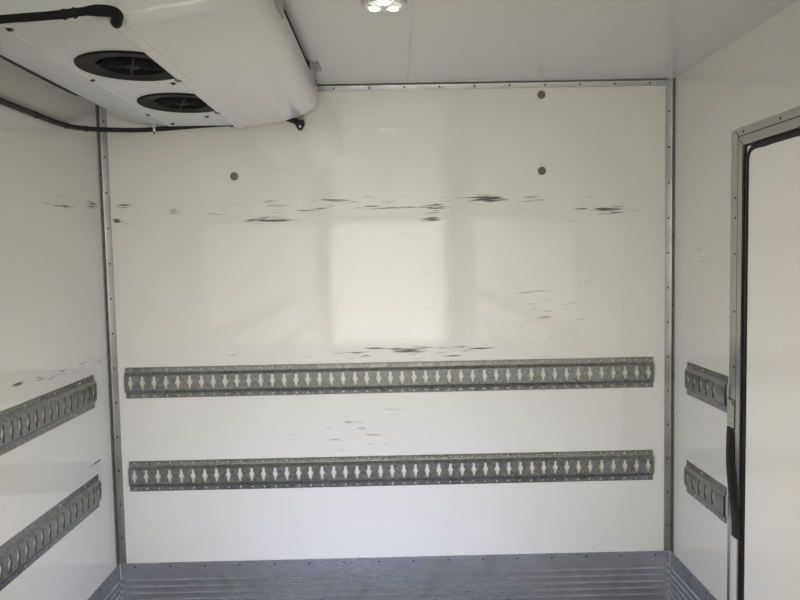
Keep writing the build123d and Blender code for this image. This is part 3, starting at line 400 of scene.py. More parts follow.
@dataclass(frozen=True)
class DrawnMetal(Finish):
    """Rolled, drawn or brushed metal with its grain along one axis."""

    grain: Triple = (900.0, 900.0, 12.0)
    stain: float = 0.35
    shine: float = 1.0

    def paint(self, book: Book, shader: Node, place) -> None:
        """Grain in the roughness and bump, stains in the colour."""
        grain = book.group(grain_group(), {"Vector": book.scaled(place, self.grain)})
        lines, blots = grain.outputs["Lines"], grain.outputs["Blots"]
        cloud = book.span(book.noise(place, 5.0, 4.0, 0.6, 0.5), 0.4, 0.75)
        tint = book.mix(book.math("MULTIPLY", lines, 0.5), self.rgba(0.86), self.rgba(1.14))
        dull = book.math("MULTIPLY", book.math("MULTIPLY", cloud, blots), 2.0 * self.stain, clamp=True)
        shader.inputs["Metallic"].default_value = self.shine
        spread = book.span(lines, 0.2, 0.8, self.roughness - 0.07, self.roughness + 0.1)
        rough = book.math("ADD", spread, book.math("MULTIPLY", dull, 0.3), clamp=True)
        book.coat(shader, book.mix(dull, tint, self.rgba(0.55)), rough, book.bump(lines, 0.12, 0.0006))


@dataclass(frozen=True)
class Zinc(Finish):
    """Galvanised steel, dark and spangled, with pale bloom."""

    bloom: Colour = (0.5, 0.51, 0.5)
    bloom_share: float = 0.35

    def paint(self, book: Book, shader: Node, place) -> None:
        """Crystals, bloom and rubbed places."""
        zinc = book.group(spangle_group(), {"Vector": place})
        tint = book.mix(zinc.outputs["Tone"], self.rgba(0.72), self.rgba(1.28))
        cover = book.math("MULTIPLY", zinc.outputs["Bloom"], self.bloom_share)
        shader.inputs["Metallic"].default_value = 0.85
        rough = book.span(zinc.outputs["Tone"], 0.0, 1.0, self.roughness - 0.08, self.roughness + 0.08)
        dull = book.math("ADD", rough, book.math("MULTIPLY", cover, 0.5), clamp=True)
        dents = book.bump(book.noise(place, 60.0, 3.0, 0.6), 0.2, 0.0008)
        book.coat(shader, book.mix(cover, tint, (*self.bloom, 1.0)), dull, dents)


@dataclass(frozen=True)
class Moulded(Finish):
    """Moulded plastic or paint, with a fine texture and dust on it."""

    texture: float = 900.0
    relief: float = 0.08
    dust: float = 0.2
    dust_colour: Colour = (0.45, 0.43, 0.4)
    metal: float = 0.0
    uneven: float = 1.0
    gloss: float = 0.5

    def paint(self, book: Book, shader: Node, place) -> None:
        """Fine texture, dust film and slightly uneven gloss."""
        grime = book.group(grime_group(), {"Vector": book.scaled(place, (2.5, 2.5, 2.5))})
        film = book.math("MULTIPLY", grime.outputs["Film"], self.dust)
        specks = book.math("MULTIPLY", grime.outputs["Specks"], self.dust, clamp=True)
        tint = book.mix(film, self.rgba(), (*self.dust_colour, 1.0))
        shader.inputs["Metallic"].default_value = self.metal
        shader.inputs["Specular IOR Level"].default_value = self.gloss
        least, most = self.roughness - 0.05 * self.uneven, self.roughness + 0.08 * self.uneven
        rough = book.span(book.noise(place, 9.0, 4.0, 0.6), 0.3, 0.7, least, most)
        grain = book.bump(book.noise(place, self.texture, 2.0, 0.6), self.relief, 0.0008)
        book.coat(shader, book.mix(specks, tint, self.rgba(0.4)), rough, grain)


@dataclass(frozen=True)
class Foam(Finish):
    """Closed cell foam sleeve, wrapped in tape."""

    wrap: float = 0.055

    def paint(self, book: Book, shader: Node, place) -> None:
        """Skin of small cells with the edges of the tape across it."""
        turn = book.node("ShaderNodeTexWave", {
            "Vector": place, "Scale": 1.0 / self.wrap, "Distortion": 1.2, "Detail": 1.0},
            wave_type="BANDS", bands_direction="DIAGONAL", wave_profile="SAW")
        skin = book.noise(place, 420.0, 3.0, 0.65)
        tint = book.mix(book.span(skin, 0.35, 0.75), self.rgba(0.7), self.rgba(1.8))
        rough = book.span(skin, 0.3, 0.7, self.roughness - 0.1, self.roughness + 0.1)
        under = book.bump(turn.outputs["Fac"], 0.35, 0.002)
        book.coat(shader, tint, rough, book.bump(skin, 0.3, 0.001, under))


@dataclass(frozen=True)
class Grit(Finish):
    """Hard grey coating with grit in it, worn along the middle."""

    half_track: float = 0.62

    def paint(self, book: Book, shader: Node, place) -> None:
        """Grains, wheel tracks and stains."""
        grains = book.node("ShaderNodeTexVoronoi", {"Vector": place, "Scale": 260.0},
                           voronoi_dimensions="2D").outputs["Distance"]
        axes = book.node("ShaderNodeSeparateXYZ", {0: place})
        off = book.math("SUBTRACT", book.math("ABSOLUTE", axes.outputs[0]), self.half_track)
        track = book.span(book.math("ABSOLUTE", off), 0.45, 0.05)
        cloud = book.noise(book.scaled(place, (2.0, 0.7, 1.0)), 2.4, 3.0, 0.65, 0.5)
        wear = book.math("MULTIPLY", track, book.span(cloud, 0.35, 0.7))
        tint = book.mix(book.span(grains, 0.0, 0.6), self.rgba(0.75), self.rgba(1.25))
        tint = book.mix(book.math("MULTIPLY", wear, 0.55), tint, self.rgba(1.7))
        tint = book.mix(book.span(cloud, 0.62, 0.8, 0.0, 0.5), tint, self.rgba(0.45))
        rough = book.span(wear, 0.0, 1.0, self.roughness, self.roughness - 0.25)
        book.coat(shader, tint, rough, book.bump(grains, 0.5, 0.0015))


@dataclass(frozen=True)
class Clear(Finish):
    """Tinted or clear lens with fine ribs inside."""

    ribs: float = 260.0
    through: float = 0.75

    def paint(self, book: Book, shader: Node, place) -> None:
        """Ribs in the bump and a slight film."""
        ribs = book.node("ShaderNodeTexWave", {"Vector": place, "Scale": self.ribs}, wave_type="BANDS",
                         bands_direction="X").outputs["Fac"]
        film = book.noise(place, 30.0, 3.0, 0.6)
        shader.inputs["Transmission Weight"].default_value = self.through
        rough = book.span(film, 0.3, 0.7, self.roughness, self.roughness + 0.1)
        tint = book.mix(film, self.rgba(0.9), self.rgba(1.1))
        book.coat(shader, tint, rough, book.bump(ribs, 0.15, 0.0004))


@dataclass(frozen=True)
class Glow(Finish):
    """Lit chips of a lamp."""

    strength: float = 16.0

    def paint(self, book: Book, shader: Node, place) -> None:
        """Brightest where the chip is clean."""
        film = book.noise(place, 90.0, 2.0, 0.5)
        shader.inputs["Base Color"].default_value = self.rgba()
        shader.inputs["Roughness"].default_value = self.roughness
        shade = book.mix(film, self.rgba(0.9), self.rgba(1.0))
        book.feed(shader.inputs["Emission Color"], shade)
        shader.inputs["Emission Strength"].default_value = self.strength
        book.material.cycles.emission_sampling = "NONE"


UP_GRAIN = (700.0, 700.0, 9.0)
ACROSS_GRAIN = (9.0, 700.0, 700.0)
LENGTH_GRAIN = (700.0, 9.0, 700.0)


class Finishes:
    """Every finish of the body that isn't tied to one wall."""

    TRIM = DrawnMetal("mill aluminium upright", (0.52, 0.52, 0.52), 0.36, grain=UP_GRAIN)
    TRIM_LONG = DrawnMetal("mill aluminium lengthwise", (0.56, 0.57, 0.58), 0.38, grain=LENGTH_GRAIN)
    # Kick plate: worn aluminium whose colour is lightened and tinted blue, a painted reflection of the cool
    # light it mirrors.
    KICK = DrawnMetal("worn aluminium kick plate with painted cool sheen", (0.72, 0.74, 0.82), 0.26, grain=(14.0, 14.0, 240.0),
                      stain=0.75, shine=0.9)
    FRAME = DrawnMetal("satin aluminium frame", (0.60, 0.60, 0.59), 0.34, grain=UP_GRAIN, stain=0.2)
    STEEL = DrawnMetal("brushed stainless steel", (0.58, 0.58, 0.58), 0.30, grain=UP_GRAIN, stain=0.25)
    STEEL_LONG = DrawnMetal("brushed stainless fittings", (0.62, 0.62, 0.62), 0.28, grain=ACROSS_GRAIN,
                            stain=0.2)
    SCREW = DrawnMetal("dull zinc screw", (0.12, 0.12, 0.115), 0.45, stain=0.5)
    BRIGHT_SCREW = DrawnMetal("bright screw", (0.82, 0.82, 0.80), 0.25, stain=0.1)
    RAIL = Zinc("galvanised rail", (0.27, 0.275, 0.27), 0.36, bloom_share=0.35)
    CHASSIS = Zinc("galvanised subframe", (0.42, 0.43, 0.43), 0.5, bloom_share=0.5)
    COWL = Moulded("white moulded cowl", (0.63, 0.615, 0.585), 0.20, texture=60.0, relief=0.0, dust=0.04,
                   uneven=0.1)
    TRAY = Moulded("white painted sheet", (0.62, 0.62, 0.60), 0.42, texture=500.0, relief=0.03, dust=0.16)
    HOUSING = Moulded("white glossy housing", (0.76, 0.77, 0.77), 0.18, texture=200.0, relief=0.03, dust=0.12)
    BEZEL = Moulded("grey lamp body", (0.46, 0.455, 0.44), 0.45, texture=600.0, dust=0.2)
    BLACK = Moulded("black moulded plastic", (0.008, 0.008, 0.009), 0.56, dust=0.04,
                    dust_colour=(0.1, 0.1, 0.09), gloss=0.2)
    RUBBER = Moulded("black rubber", (0.010, 0.010, 0.011), 0.55, texture=1400.0, relief=0.2, dust=0.05,
                     dust_colour=(0.12, 0.11, 0.10))
    CABLE = Moulded("black cable jacket", (0.009, 0.009, 0.010), 0.5, texture=1200.0, relief=0.15, dust=0.03,
                    dust_colour=(0.1, 0.1, 0.09))
    PLUG = Moulded("grey plastic plug", (0.13, 0.125, 0.115), 0.5, texture=900.0, dust=0.2)
    CLIP = Moulded("pale nylon clip", (0.66, 0.66, 0.62), 0.42, texture=900.0, dust=0.15)
    SEALANT = Moulded("white sealant", (0.57, 0.57, 0.545), 0.4, texture=500.0, relief=0.15, dust=0.4,
                      dust_colour=(0.4, 0.38, 0.33))
    MOTOR = Moulded("black painted steel", (0.03, 0.03, 0.032), 0.38, texture=500.0, relief=0.12, dust=0.3,
                    dust_colour=(0.22, 0.2, 0.18), metal=0.3)
    FINS = DrawnMetal("coil fins", (0.52, 0.53, 0.54), 0.4, grain=UP_GRAIN, stain=0.5)
    FOAM = Foam("black foam sleeve", (0.008, 0.008, 0.009), 0.75)
    FLOOR = Grit("gritted floor coating", (0.17, 0.175, 0.18), 0.7)
    LENS = Clear("clear lens", (0.86, 0.87, 0.86), 0.12)
    AMBER = Clear("amber lens", (0.8, 0.28, 0.02), 0.15, through=0.35)
    RED = Clear("red lens", (0.55, 0.02, 0.015), 0.15, through=0.3)
    STRIKER = DrawnMetal("pale green anodised plate", (0.50, 0.53, 0.46), 0.4, grain=UP_GRAIN, stain=0.3,
                         shine=0.5)
    COPPER = DrawnMetal("copper tube", (0.60, 0.30, 0.18), 0.35, grain=ACROSS_GRAIN, stain=0.6)
    LED = Glow("lit chips", (1.0, 0.96, 0.86), 0.4)


# Meshes


def place(origin: Vector, u: Vector, v: Vector) -> Matrix:
    """A frame at a point, its first two axes given and the third square to both."""
    u, v = Vector(u).normalized(), Vector(v).normalized()
    w = u.cross(v)
    turn = Matrix((u, v, w)).transposed().to_4x4()
    turn.translation = origin
    return turn


def circle(radius: float, steps: int, start: float = 0.0, turn: float = 2 * math.pi) -> list[Flat]:
    """Points round a circle, or part of one."""
    count = steps if turn >= 2 * math.pi else steps + 1
    return [(radius * math.cos(start + turn * i / steps), radius * math.sin(start + turn * i / steps))
            for i in range(count)]


def rounded(points: Sequence[Flat], radius: float, steps: int = 3, closed: bool = True) -> list[Flat]:
    """An outline with its corners rounded.

    Args:
        points: Corners of the outline.
        radius: Radius of each corner, less where its sides are short.
        steps: Pieces that each round is made of.
        closed: Whether the last point joins the first.

    Returns:
        The points of the rounded outline.
    """
    made: list[Flat] = []
    count = len(points)
    for i, corner in enumerate(points):
        if not closed and i in (0, count - 1):
            made.append(corner)
            continue
        here = Vector(corner)
        before = Vector(points[i - 1]) - here
        after = Vector(points[(i + 1) % count]) - here
        half = before.angle(after) / 2
        reach = min(radius / math.tan(half), before.length * 0.48, after.length * 0.48)
        start, end = here + before.normalized() * reach, here + after.normalized() * reach
        for k in range(steps + 1):
            t = k / steps
            p = start * (1 - t) ** 2 + here * 2 * t * (1 - t) + end * t ** 2
            made.append((p.x, p.y))
    return made


def slab(low: Flat, high: Flat, radius: float, steps: int = 3) -> list[Flat]:
    """Outline of a plate between two corners, with rounded corners."""
    return rounded([low, (high[0], low[1]), high, (low[0], high[1])], radius, steps)


def filled(loops: Sequence[Sequence[Flat]]) -> list[list[int]]:
    """Triangles between an outline and its holes, counter-clockwise, as numbers of the points in order."""
    bm = bmesh.new()
    for loop in loops:
        ring = [bm.verts.new((x, y, 0.0)) for x, y in loop]
        for a, b in zip(ring, ring[1:] + ring[:1]):
            bm.edges.new((a, b))
    bm.verts.index_update()
    bmesh.ops.triangle_fill(bm, use_beauty=True, edges=bm.edges[:], normal=(0.0, 0.0, 1.0))
    bmesh.ops.recalc_face_normals(bm, faces=bm.faces[:])
    faces = [[v.index for v in face.verts][::1 if face.normal.z > 0 else -1] for face in bm.faces]
    bm.free()
    return faces


class Shape:
    """A mesh in the making, in the frame's own metres."""

    def __init__(self) -> None:
        """Start with nothing."""
        self.bm = bmesh.new()

    def add(self, points: Iterable, faces: Iterable[Sequence[int]], at: Matrix | None = None) -> None:
        """Add points and the faces between them, in a local frame."""
        at = at or Matrix.Identity(4)
        verts = [self.bm.verts.new(at @ Vector(p)) for p in points]
        for face in faces:
            self.bm.faces.new([verts[i] for i in face])

    def prism(self, outline: Sequence[Flat], depth: Flat, at: Matrix | None = None,
              holes: Sequence = ()) -> None:
        """A closed outline, with any holes, carried from one depth to another.

        Args:
            outline: Corners in the local plane, counter-clockwise.
            depth: Start and end along the local third axis.
            at: The local frame.
            holes: Outlines of the holes.
        """
        loops = [list(outline), *[list(hole) for hole in holes]]
        flat = [p for loop in loops for p in loop]
        size = len(flat)
        points = [(x, y, depth[0]) for x, y in flat] + [(x, y, depth[1]) for x, y in flat]
        faces = []
        for a, b, c in filled(loops):
            faces += [(a + size, b + size, c + size), (c, b, a)]
        first = 0
        for loop in loops:
            count = len(loop)
            area = sum(loop[i - 1][0] * loop[i][1] - loop[i][0] * loop[i - 1][1] for i in range(count))
            outward = (area > 0) == (first == 0)
            for i in range(count):
                a, b = first + i, first + (i + 1) % count
                a, b = (a, b) if outward else (b, a)
                faces.append((a, b, b + size, a + size))
            first += count
        self.add(points, faces, at)

    def block(self, low: Sequence[float], high: Sequence[float], at: Matrix | None = None) -> None:
        """A plain box between two corners, to be rounded or cut afterwards."""
        outline = [(low[0], low[1]), (high[0], low[1]), (high[0], high[1]), (low[0], high[1])]
        self.prism(outline, (low[2], high[2]), at)

    def lathe(self, profile: Sequence[Flat], steps: int, at: Matrix | None = None) -> None:
        """A profile of radius and height turned about the local third axis, its poles closed."""
        rings, points, faces = [], [], []
        for radius, height in profile:
            if radius < 1e-7:
                rings.append([len(points)] * steps)
                points.append((0.0, 0.0, height))
            else:
                rings.append(list(range(len(points), len(points) + steps)))
                points += [(x, y, height) for x, y in circle(radius, steps)]
        for low, high in zip(rings, rings[1:]):
            for i in range(steps):
                j = (i + 1) % steps
                face = list(dict.fromkeys((low[i], low[j], high[j], high[i])))
                if len(face) > 2:
                    faces.append(face)
        self.add(points, faces, at)

    def turned(self, radius: float, rise: float, shares: Sequence[Flat], steps: int,
               at: Matrix | None = None) -> None:
        """A lathed profile whose points are shares of a radius and of a height."""
        self.lathe([(radius * r, rise * z) for r, z in shares], steps, at)

    def loft(self, sections: Sequence[Sequence[Vector]], closed: bool = False) -> None:
        """Faces between sections with as many points each, in the frame's own axes."""
        points = [p for section in sections for p in section]
        count = len(sections[0])
        faces = []
        for s in range(len(sections) - 1):
            for i in range(count if closed else count - 1):
                j = (i + 1) % count
                a, b = s * count + i, s * count + j
                faces.append((a, b, b + count, a + count))
        self.add(points, faces)

    def cap(self, *rings: Sequence[Vector]) -> None:
        """Close the ends of a loft, each with one face."""
        for ring in rings:
            self.add(ring, [list(range(len(ring)))])

    def tube(self, path: Sequence[Vector], radius: Callable[[float], float], sides: int) -> None:
        """A round tube along a path, with closed ends and a radius that may change."""
        last = len(path) - 1
        tangents = [(path[min(i + 1, last)] - path[max(i - 1, 0)]).normalized() for i in range(last + 1)]
        up = UP if abs(tangents[0].z) < 0.9 else KERB
        sections = []
        for i, (point, along) in enumerate(zip(path, tangents)):
            side = along.cross(up).normalized()
            up = side.cross(along).normalized()
            size = radius(i / last)
            sections.append([point + side * x + up * y for x, y in circle(size, sides)])
        self.loft(sections, closed=True)
        self.cap(sections[0], sections[-1][::-1])

    def soften(self, width: float, steps: int = 2, angle: float = 35.0) -> None:
        """Round the edges that are sharper than an angle."""
        self.merge()
        edges = [e for e in self.bm.edges
                 if len(e.link_faces) == 2 and e.calc_face_angle(0.0) > math.radians(angle)]
        bmesh.ops.bevel(self.bm, geom=edges, offset=width, segments=steps, affect="EDGES",
                        clamp_overlap=True, profile=0.5)

    def cut(self, at: Vector, away: Vector) -> None:
        """Take off what lies beyond a plane and close the cut."""
        geometry = self.bm.verts[:] + self.bm.edges[:] + self.bm.faces[:]
        made = bmesh.ops.bisect_plane(self.bm, geom=geometry, plane_co=at, plane_no=away, clear_outer=True)
        rim = [e for e in made["geom_cut"] if isinstance(e, bmesh.types.BMEdge)]
        bmesh.ops.triangle_fill(self.bm, use_beauty=True, use_dissolve=False, edges=rim)
        self.outwards()

    def merge(self, distance: float = 1e-6) -> None:
        """Join points that lie on each other."""
        bmesh.ops.remove_doubles(self.bm, verts=self.bm.verts, dist=distance)

    def outwards(self) -> None:
        """Turn every closed shell's faces outwards."""
        self.merge()
        bmesh.ops.recalc_face_normals(self.bm, faces=self.bm.faces)

    def mesh(self, sharp: float = 32.0) -> Mesh:
        """The mesh, smooth but for the edges sharper than an angle."""
        mesh = bpy.data.meshes.new("shape")
        self.merge()
        self.bm.to_mesh(mesh)
        self.bm.free()
        mesh.shade_smooth()
        mesh.set_sharp_from_angle(angle=math.radians(sharp))
        return mesh


def joined(meshes: Sequence[Mesh]) -> Mesh:
    """Several meshes as one, without their materials."""
    bm = bmesh.new()
    for mesh in meshes:
        bm.from_mesh(mesh)
    made = bpy.data.meshes.new("joined")
    bm.to_mesh(made)
    bm.free()
    return made


def shown(name: str, data) -> Object:
    """A new object in the scene."""
    made = bpy.data.objects.new(name, data)
    bpy.context.scene.collection.objects.link(made)
    return made


def finished(holder: Object) -> Mesh:
    """The mesh that an object's modifiers make; the object goes."""
    graph = bpy.context.evaluated_depsgraph_get()
    made = bpy.data.meshes.new_from_object(holder.evaluated_get(graph), depsgraph=graph)
    holder.modifiers.clear()
    bpy.data.objects.remove(holder)
    return made


# Repeats, made by geometry nodes


def repeat_group(name: str, inputs: dict[str, str], write: Callable[[Book, Node], NodeSocket]) -> NodeTree:
    """A geometry group whose copies are made real, merged where they meet and given their finish.

    Args:
        name: Name of the group.
        inputs: Input name to the kind of its socket, besides the geometry and the finish.
        write: Writes the inside and returns the socket of the copies.

    Returns:
        The node group.
    """

    def whole(book: Book, given: Node) -> dict:
        """The copies as one dressed mesh."""
        real = book.node("GeometryNodeRealizeInstances", {0: write(book, given)})
        merged = book.node("GeometryNodeMergeByDistance", {"Geometry": real.outputs[0], "Distance": 1e-5})
        finish = given.outputs["Finish"]
        dressed = book.node("GeometryNodeSetMaterial", {"Geometry": merged.outputs[0], "Material": finish})
        return {"Geometry": dressed.outputs[0]}

    every = {"Geometry": "Geometry", "Finish": "Material", **inputs}
    return node_group(name, "Geometry", every, {"Geometry": "Geometry"}, whole)


def studs_group() -> NodeTree:
    """Pieces set on points, each facing as its point says and turned at random about itself."""

    def write(book: Book, given: Node) -> NodeSocket:
        """The piece on every point."""
        points = book.node("GeometryNodeMeshToPoints", {"Mesh": given.outputs["Geometry"]})
        piece = book.node("GeometryNodeObjectInfo", {"Object": given.outputs["Piece"]})
        facing = book.node("GeometryNodeInputNamedAttribute", {"Name": "facing"}, data_type="FLOAT_VECTOR")
        stand = book.node("FunctionNodeAlignRotationToVector", {
            "Vector": facing.outputs["Attribute"]}, axis="Z")
        chance = book.node("FunctionNodeRandomValue", {
            "Max": given.outputs["Turn"], "Seed": given.outputs["Seed"]}, data_type="FLOAT")
        about = book.node("FunctionNodeAxisAngleToRotation", {
            "Axis": (0.0, 0.0, 1.0), "Angle": chance.outputs["Value"]})
        turned = book.node("FunctionNodeRotateRotation", {
            "Rotation": stand.outputs[0], "Rotate By": about.outputs[0]}, rotation_space="LOCAL")
        return book.node("GeometryNodeInstanceOnPoints", {
            "Points": points.outputs[0], "Instance": piece.outputs["Geometry"],
            "Rotation": turned.outputs[0]}).outputs[0]

    return repeat_group("set on points", {"Piece": "Object", "Turn": "Float", "Seed": "Int"}, write)


def row_group() -> NodeTree:
    """A piece repeated in a straight row."""

    def write(book: Book, given: Node) -> NodeSocket:
        """The piece on every point of a line."""
        line = book.node("GeometryNodeMeshLine", {
            "Count": given.outputs["Count"], "Start Location": given.outputs["First"],
            "Offset": given.outputs["Step"]}, mode="OFFSET")
        piece = book.node("GeometryNodeObjectInfo", {"Object": given.outputs["Piece"]})
        return book.node("GeometryNodeInstanceOnPoints", {
            "Points": line.outputs[0], "Instance": piece.outputs["Geometry"]}).outputs[0]

    inputs = {"Piece": "Object", "Count": "Int", "First": "Vector", "Step": "Vector"}
    return repeat_group("straight row", inputs, write)


def rings_group() -> NodeTree:
    """Wire rings about one axis, evenly spaced in radius."""

    def write(book: Book, given: Node) -> NodeSocket:
        """A wire along circles that grow step by step."""
        line = book.node("GeometryNodeMeshLine", {
            "Count": given.outputs["Count"], "Offset": (0.0, 0.0, 0.0)}, mode="OFFSET")
        unit = book.node("GeometryNodeCurvePrimitiveCircle", {"Resolution": 48, "Radius": 1.0})
        index = book.node("GeometryNodeInputIndex").outputs[0]
        size = book.math("ADD", given.outputs["First"], book.math("MULTIPLY", index, given.outputs["Step"]))
        scale = book.node("ShaderNodeCombineXYZ", {0: size, 1: size, 2: 1.0})
        placed = book.node("GeometryNodeInstanceOnPoints", {
            "Points": line.outputs[0], "Instance": unit.outputs[0], "Scale": scale.outputs[0]})
        real = book.node("GeometryNodeRealizeInstances", {0: placed.outputs[0]})
        wire = book.node("GeometryNodeCurvePrimitiveCircle", {
            "Resolution": 8, "Radius": given.outputs["Wire"]})
        return book.node("GeometryNodeCurveToMesh", {
            "Curve": real.outputs[0], "Profile Curve": wire.outputs[0]}).outputs[0]

    inputs = {"Count": "Int", "First": "Float", "Step": "Float", "Wire": "Float"}
    return repeat_group("wire rings", inputs, write)


def grown(tree: NodeTree, host: Mesh, values: dict) -> Mesh:
    """Run a geometry tree on a host mesh and keep the result as a plain mesh.

    Args:
        tree: The geometry tree.
        host: Mesh that the tree starts from.
        values: Input name to value; the shape under "Piece" becomes a pattern that is removed afterwards.

    Returns:
        The mesh that the tree made.
    """
    pattern = None
    if "Piece" in values:
        pattern = shown("pattern", values["Piece"].mesh())
        pattern.hide_render = True
        values = {**values, "Piece": pattern}
    holder = shown("holder", host)
    modifier = holder.modifiers.new("grow", "NODES")
    modifier.node_group = tree
    for item in tree.interface.items_tree:
        if item.in_out == "INPUT" and item.name in values:
            modifier[item.identifier] = values[item.name]
    made = finished(holder)
    if pattern:
        bpy.data.objects.remove(pattern)
    return made


def set_on(spots: Spots, shape: Shape, finish: Finish, turn: float) -> Mesh:
    """Copies of a shape at places, each with the direction that it faces."""
    host = bpy.data.meshes.new("points")
    host.from_pydata([p for p, _ in spots], [], [])
    facing = host.attributes.new("facing", "FLOAT_VECTOR", "POINT")
    facing.data.foreach_set("vector", [c for _, direction in spots for c in direction])
    return grown(studs_group(), host, {
        "Piece": shape, "Finish": finish.material(), "Turn": turn, "Seed": SEED})


def in_row(shape: Shape, finish: Finish, first: Vector, step: Vector, count: int) -> Mesh:
    """Copies of a shape in a straight row."""
    return grown(row_group(), bpy.data.meshes.new("start"), {
        "Piece": shape, "Finish": finish.material(), "Count": count, "First": first, "Step": step})


def shares(first: float, last: float, count: int) -> list[float]:
    """A number of even places from first to last."""
    return [first + (last - first) * i / (count - 1) for i in range(count)]


def spaced(first: float, last: float, pitch: float) -> list[float]:
    """Even places from first to last, as near a pitch as they fit."""
    return shares(first, last, 1 + max(1, round(abs(last - first) / pitch)))


# Common parts


@dataclass
class Assembly:
    """A group of pieces that are made and dressed together."""

    room: Room

    def piece(self, name: str, mesh: Mesh, finish: Finish, body: str = BODY, slot: str | None = None,
              stands_for: Sequence[str] = ()) -> Object:
        """Make one piece of a mesh.

        Args:
            name: Name of the piece.
            mesh: Its mesh, in the frame's own metres.
            finish: Its finish, put on every face.
            body: The body that it rides on.
            slot: Not used.
            stands_for: Frame nodes that it is shown for.

        Returns:
            The new object.
        """
        mesh.materials.clear()
        mesh.materials.append(finish.material())
        mesh.name = name
        made = shown(name, mesh)
        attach(made, body)
        if stands_for:
            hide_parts(*stands_for)
        log.info("%s: %d faces on %s", name, len(mesh.polygons), body)
        return made

    def studs(self, name: str, shape: Shape, spots: Spots, finish: Finish,
              turn: float = FULL_TURN, **rest) -> Object:
        """One piece of many small parts, each set on its place and facing its own way."""
        return self.piece(name, set_on(spots, shape, finish, turn), finish, **rest)

    def dress(self, node: str, finish: Finish) -> None:
        """Give a frame node its finish."""
        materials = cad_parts[node].data.materials
        materials.clear()
        materials.append(finish.material())
        log.info("%s: %s", node, finish.name)


def stud(radius: float, rise: float, recess: float = 0.0) -> Shape:
    """A low domed head that stands on its base, with a small recess if given."""
    shape = Shape()
    foot = 1.0 - recess / rise
    middle = ((0.3, 1.0), (0.24, foot), (0.0, foot)) if recess else ((0.0, 1.0),)
    shape.turned(radius, rise, ((1.0, 0.0), (0.96, 0.35), (0.75, 0.75), (0.45, 0.95), *middle), 10)
    return shape


def hex_bolt(across: float, rise: float) -> Shape:
    """A hexagon head on its washer."""
    shape = Shape()
    shape.turned(across, rise, ((0.95, 0.0), (0.95, 0.16), (0.6, 0.18)), 14)
    shape.turned(across, rise, ((0.56, 0.16), (0.56, 0.88), (0.48, 1.0), (0.0, 1.0)), 6)
    return shape


def around(shape: Shape, section: Sequence[Flat], low: Flat, high: Flat, at: Matrix) -> None:
    """A section carried round a rectangle, its corners mitred.

    Args:
        shape: Mesh that it is added to.
        section: Points of distance inwards from the rectangle and height above its plane.
        low: Lowest corner of the rectangle, in the local plane.
        high: Highest corner.
        at: The local frame.
    """
    corners = ((low, 1, 1), ((high[0], low[1]), -1, 1), (high, -1, -1), ((low[0], high[1]), 1, -1))
    stations = []
    for (x, y), right, up in corners:
        stations.append([at @ Vector((x + right * d, y + up * d, w)) for d, w in section])
    shape.loft([*stations, stations[0]], closed=True)


def thickened(mesh: Mesh, thickness: float, sharp: float = 32.0) -> Mesh:
    """A sheet given its thickness behind its faces, with closed rims."""
    holder = shown("holder", mesh)
    modifier = holder.modifiers.new("sheet", "SOLIDIFY")
    modifier.thickness = thickness
    modifier.offset = -1.0
    made = finished(holder)
    made.shade_smooth()
    made.set_sharp_from_angle(angle=math.radians(sharp))
    return made


def smooth_route(points: Sequence[Vector], resolution: int = 8) -> list[Vector]:
    """Points along the smooth line of a route.

    Args:
        points: Control points of the route.
        resolution: Points per stretch.

    Returns:
        Points of its NURBS line, ends included.
    """
    curve = bpy.data.curves.new("route", "CURVE")
    curve.dimensions = "3D"
    curve.resolution_u = resolution
    spline = curve.splines.new("NURBS")
    spline.points.add(len(points) - 1)
    for point, target in zip(spline.points, points):
        point.co = (*target, 1.0)
    spline.order_u = 3
    spline.use_endpoint_u = True
    return [v.co.copy() for v in finished(shown("route", curve)).vertices]


# Load space


FRONT_MARKS = tuple(Mark(*row) for row in (
    (0.090, 0.492, 0.080, 0.022, 0.75), (0.054, 0.555, 0.022, 0.018, 1.0), (0.100, 0.566, 0.060, 0.011, 0.95),
    (0.297, 0.511, 0.055, 0.060, 0.8), (0.430, 0.530, 0.190, 0.016, 0.6), (0.591, 0.486, 0.100, 0.028, 0.7),
    (0.706, 0.480, 0.110, 0.016, 0.70), (0.970, 0.481, 0.210, 0.016, 0.80), (0.752, 0.527, 0.095, 0.016, 1.0),
    (0.710, 0.559, 0.120, 0.018, 1.0), (1.645, 0.490, 0.260, 0.026, 1.0), (1.432, 0.525, 0.100, 0.028, 0.9),
    (1.408, 0.572, 0.070, 0.018, 1.0), (2.060, 0.484, 0.130, 0.010, 0.7), (2.133, 0.543, 0.170, 0.023, 1.0),
    (1.997, 0.585, 0.030, 0.014, 0.9), (1.283, 1.122, 0.560, 0.015, 0.85), (1.290, 1.140, 0.200, 0.014, 1.0),
    (1.481, 1.163, 0.065, 0.012, 1.0), (1.602, 1.133, 0.100, 0.014, 1.0), (0.638, 1.137, 0.220, 0.018, 0.55),
    (1.100, 0.505, 1.150, 0.070, 0.44), (1.250, 1.145, 1.050, 0.045, 0.46),
    (1.050, 1.480, 1.100, 0.300, 0.24), (1.900, 0.950, 0.700, 0.500, 0.20),
))
LEFT_MARKS = tuple(Mark(*row) for row in (
    (0.554, 0.480, 0.110, 0.014, 0.6), (0.314, 0.482, 0.150, 0.016, 0.6), (0.341, 0.512, 0.240, 0.018, 0.8),
    (0.128, 0.495, 0.095, 0.026, 1.0), (0.738, 1.122, 0.080, 0.020, 0.95), (0.586, 1.123, 0.075, 0.014, 0.95),
    (0.436, 1.123, 0.060, 0.012, 0.95), (0.292, 1.123, 0.080, 0.016, 1.0), (0.122, 1.135, 0.080, 0.023, 0.9),
    (0.150, 1.545, 0.150, 0.016, 0.7), (0.450, 1.125, 0.450, 0.035, 0.5), (2.600, 0.700, 1.500, 0.200, 0.25),
    (5.200, 1.150, 3.500, 0.160, 0.30),
))
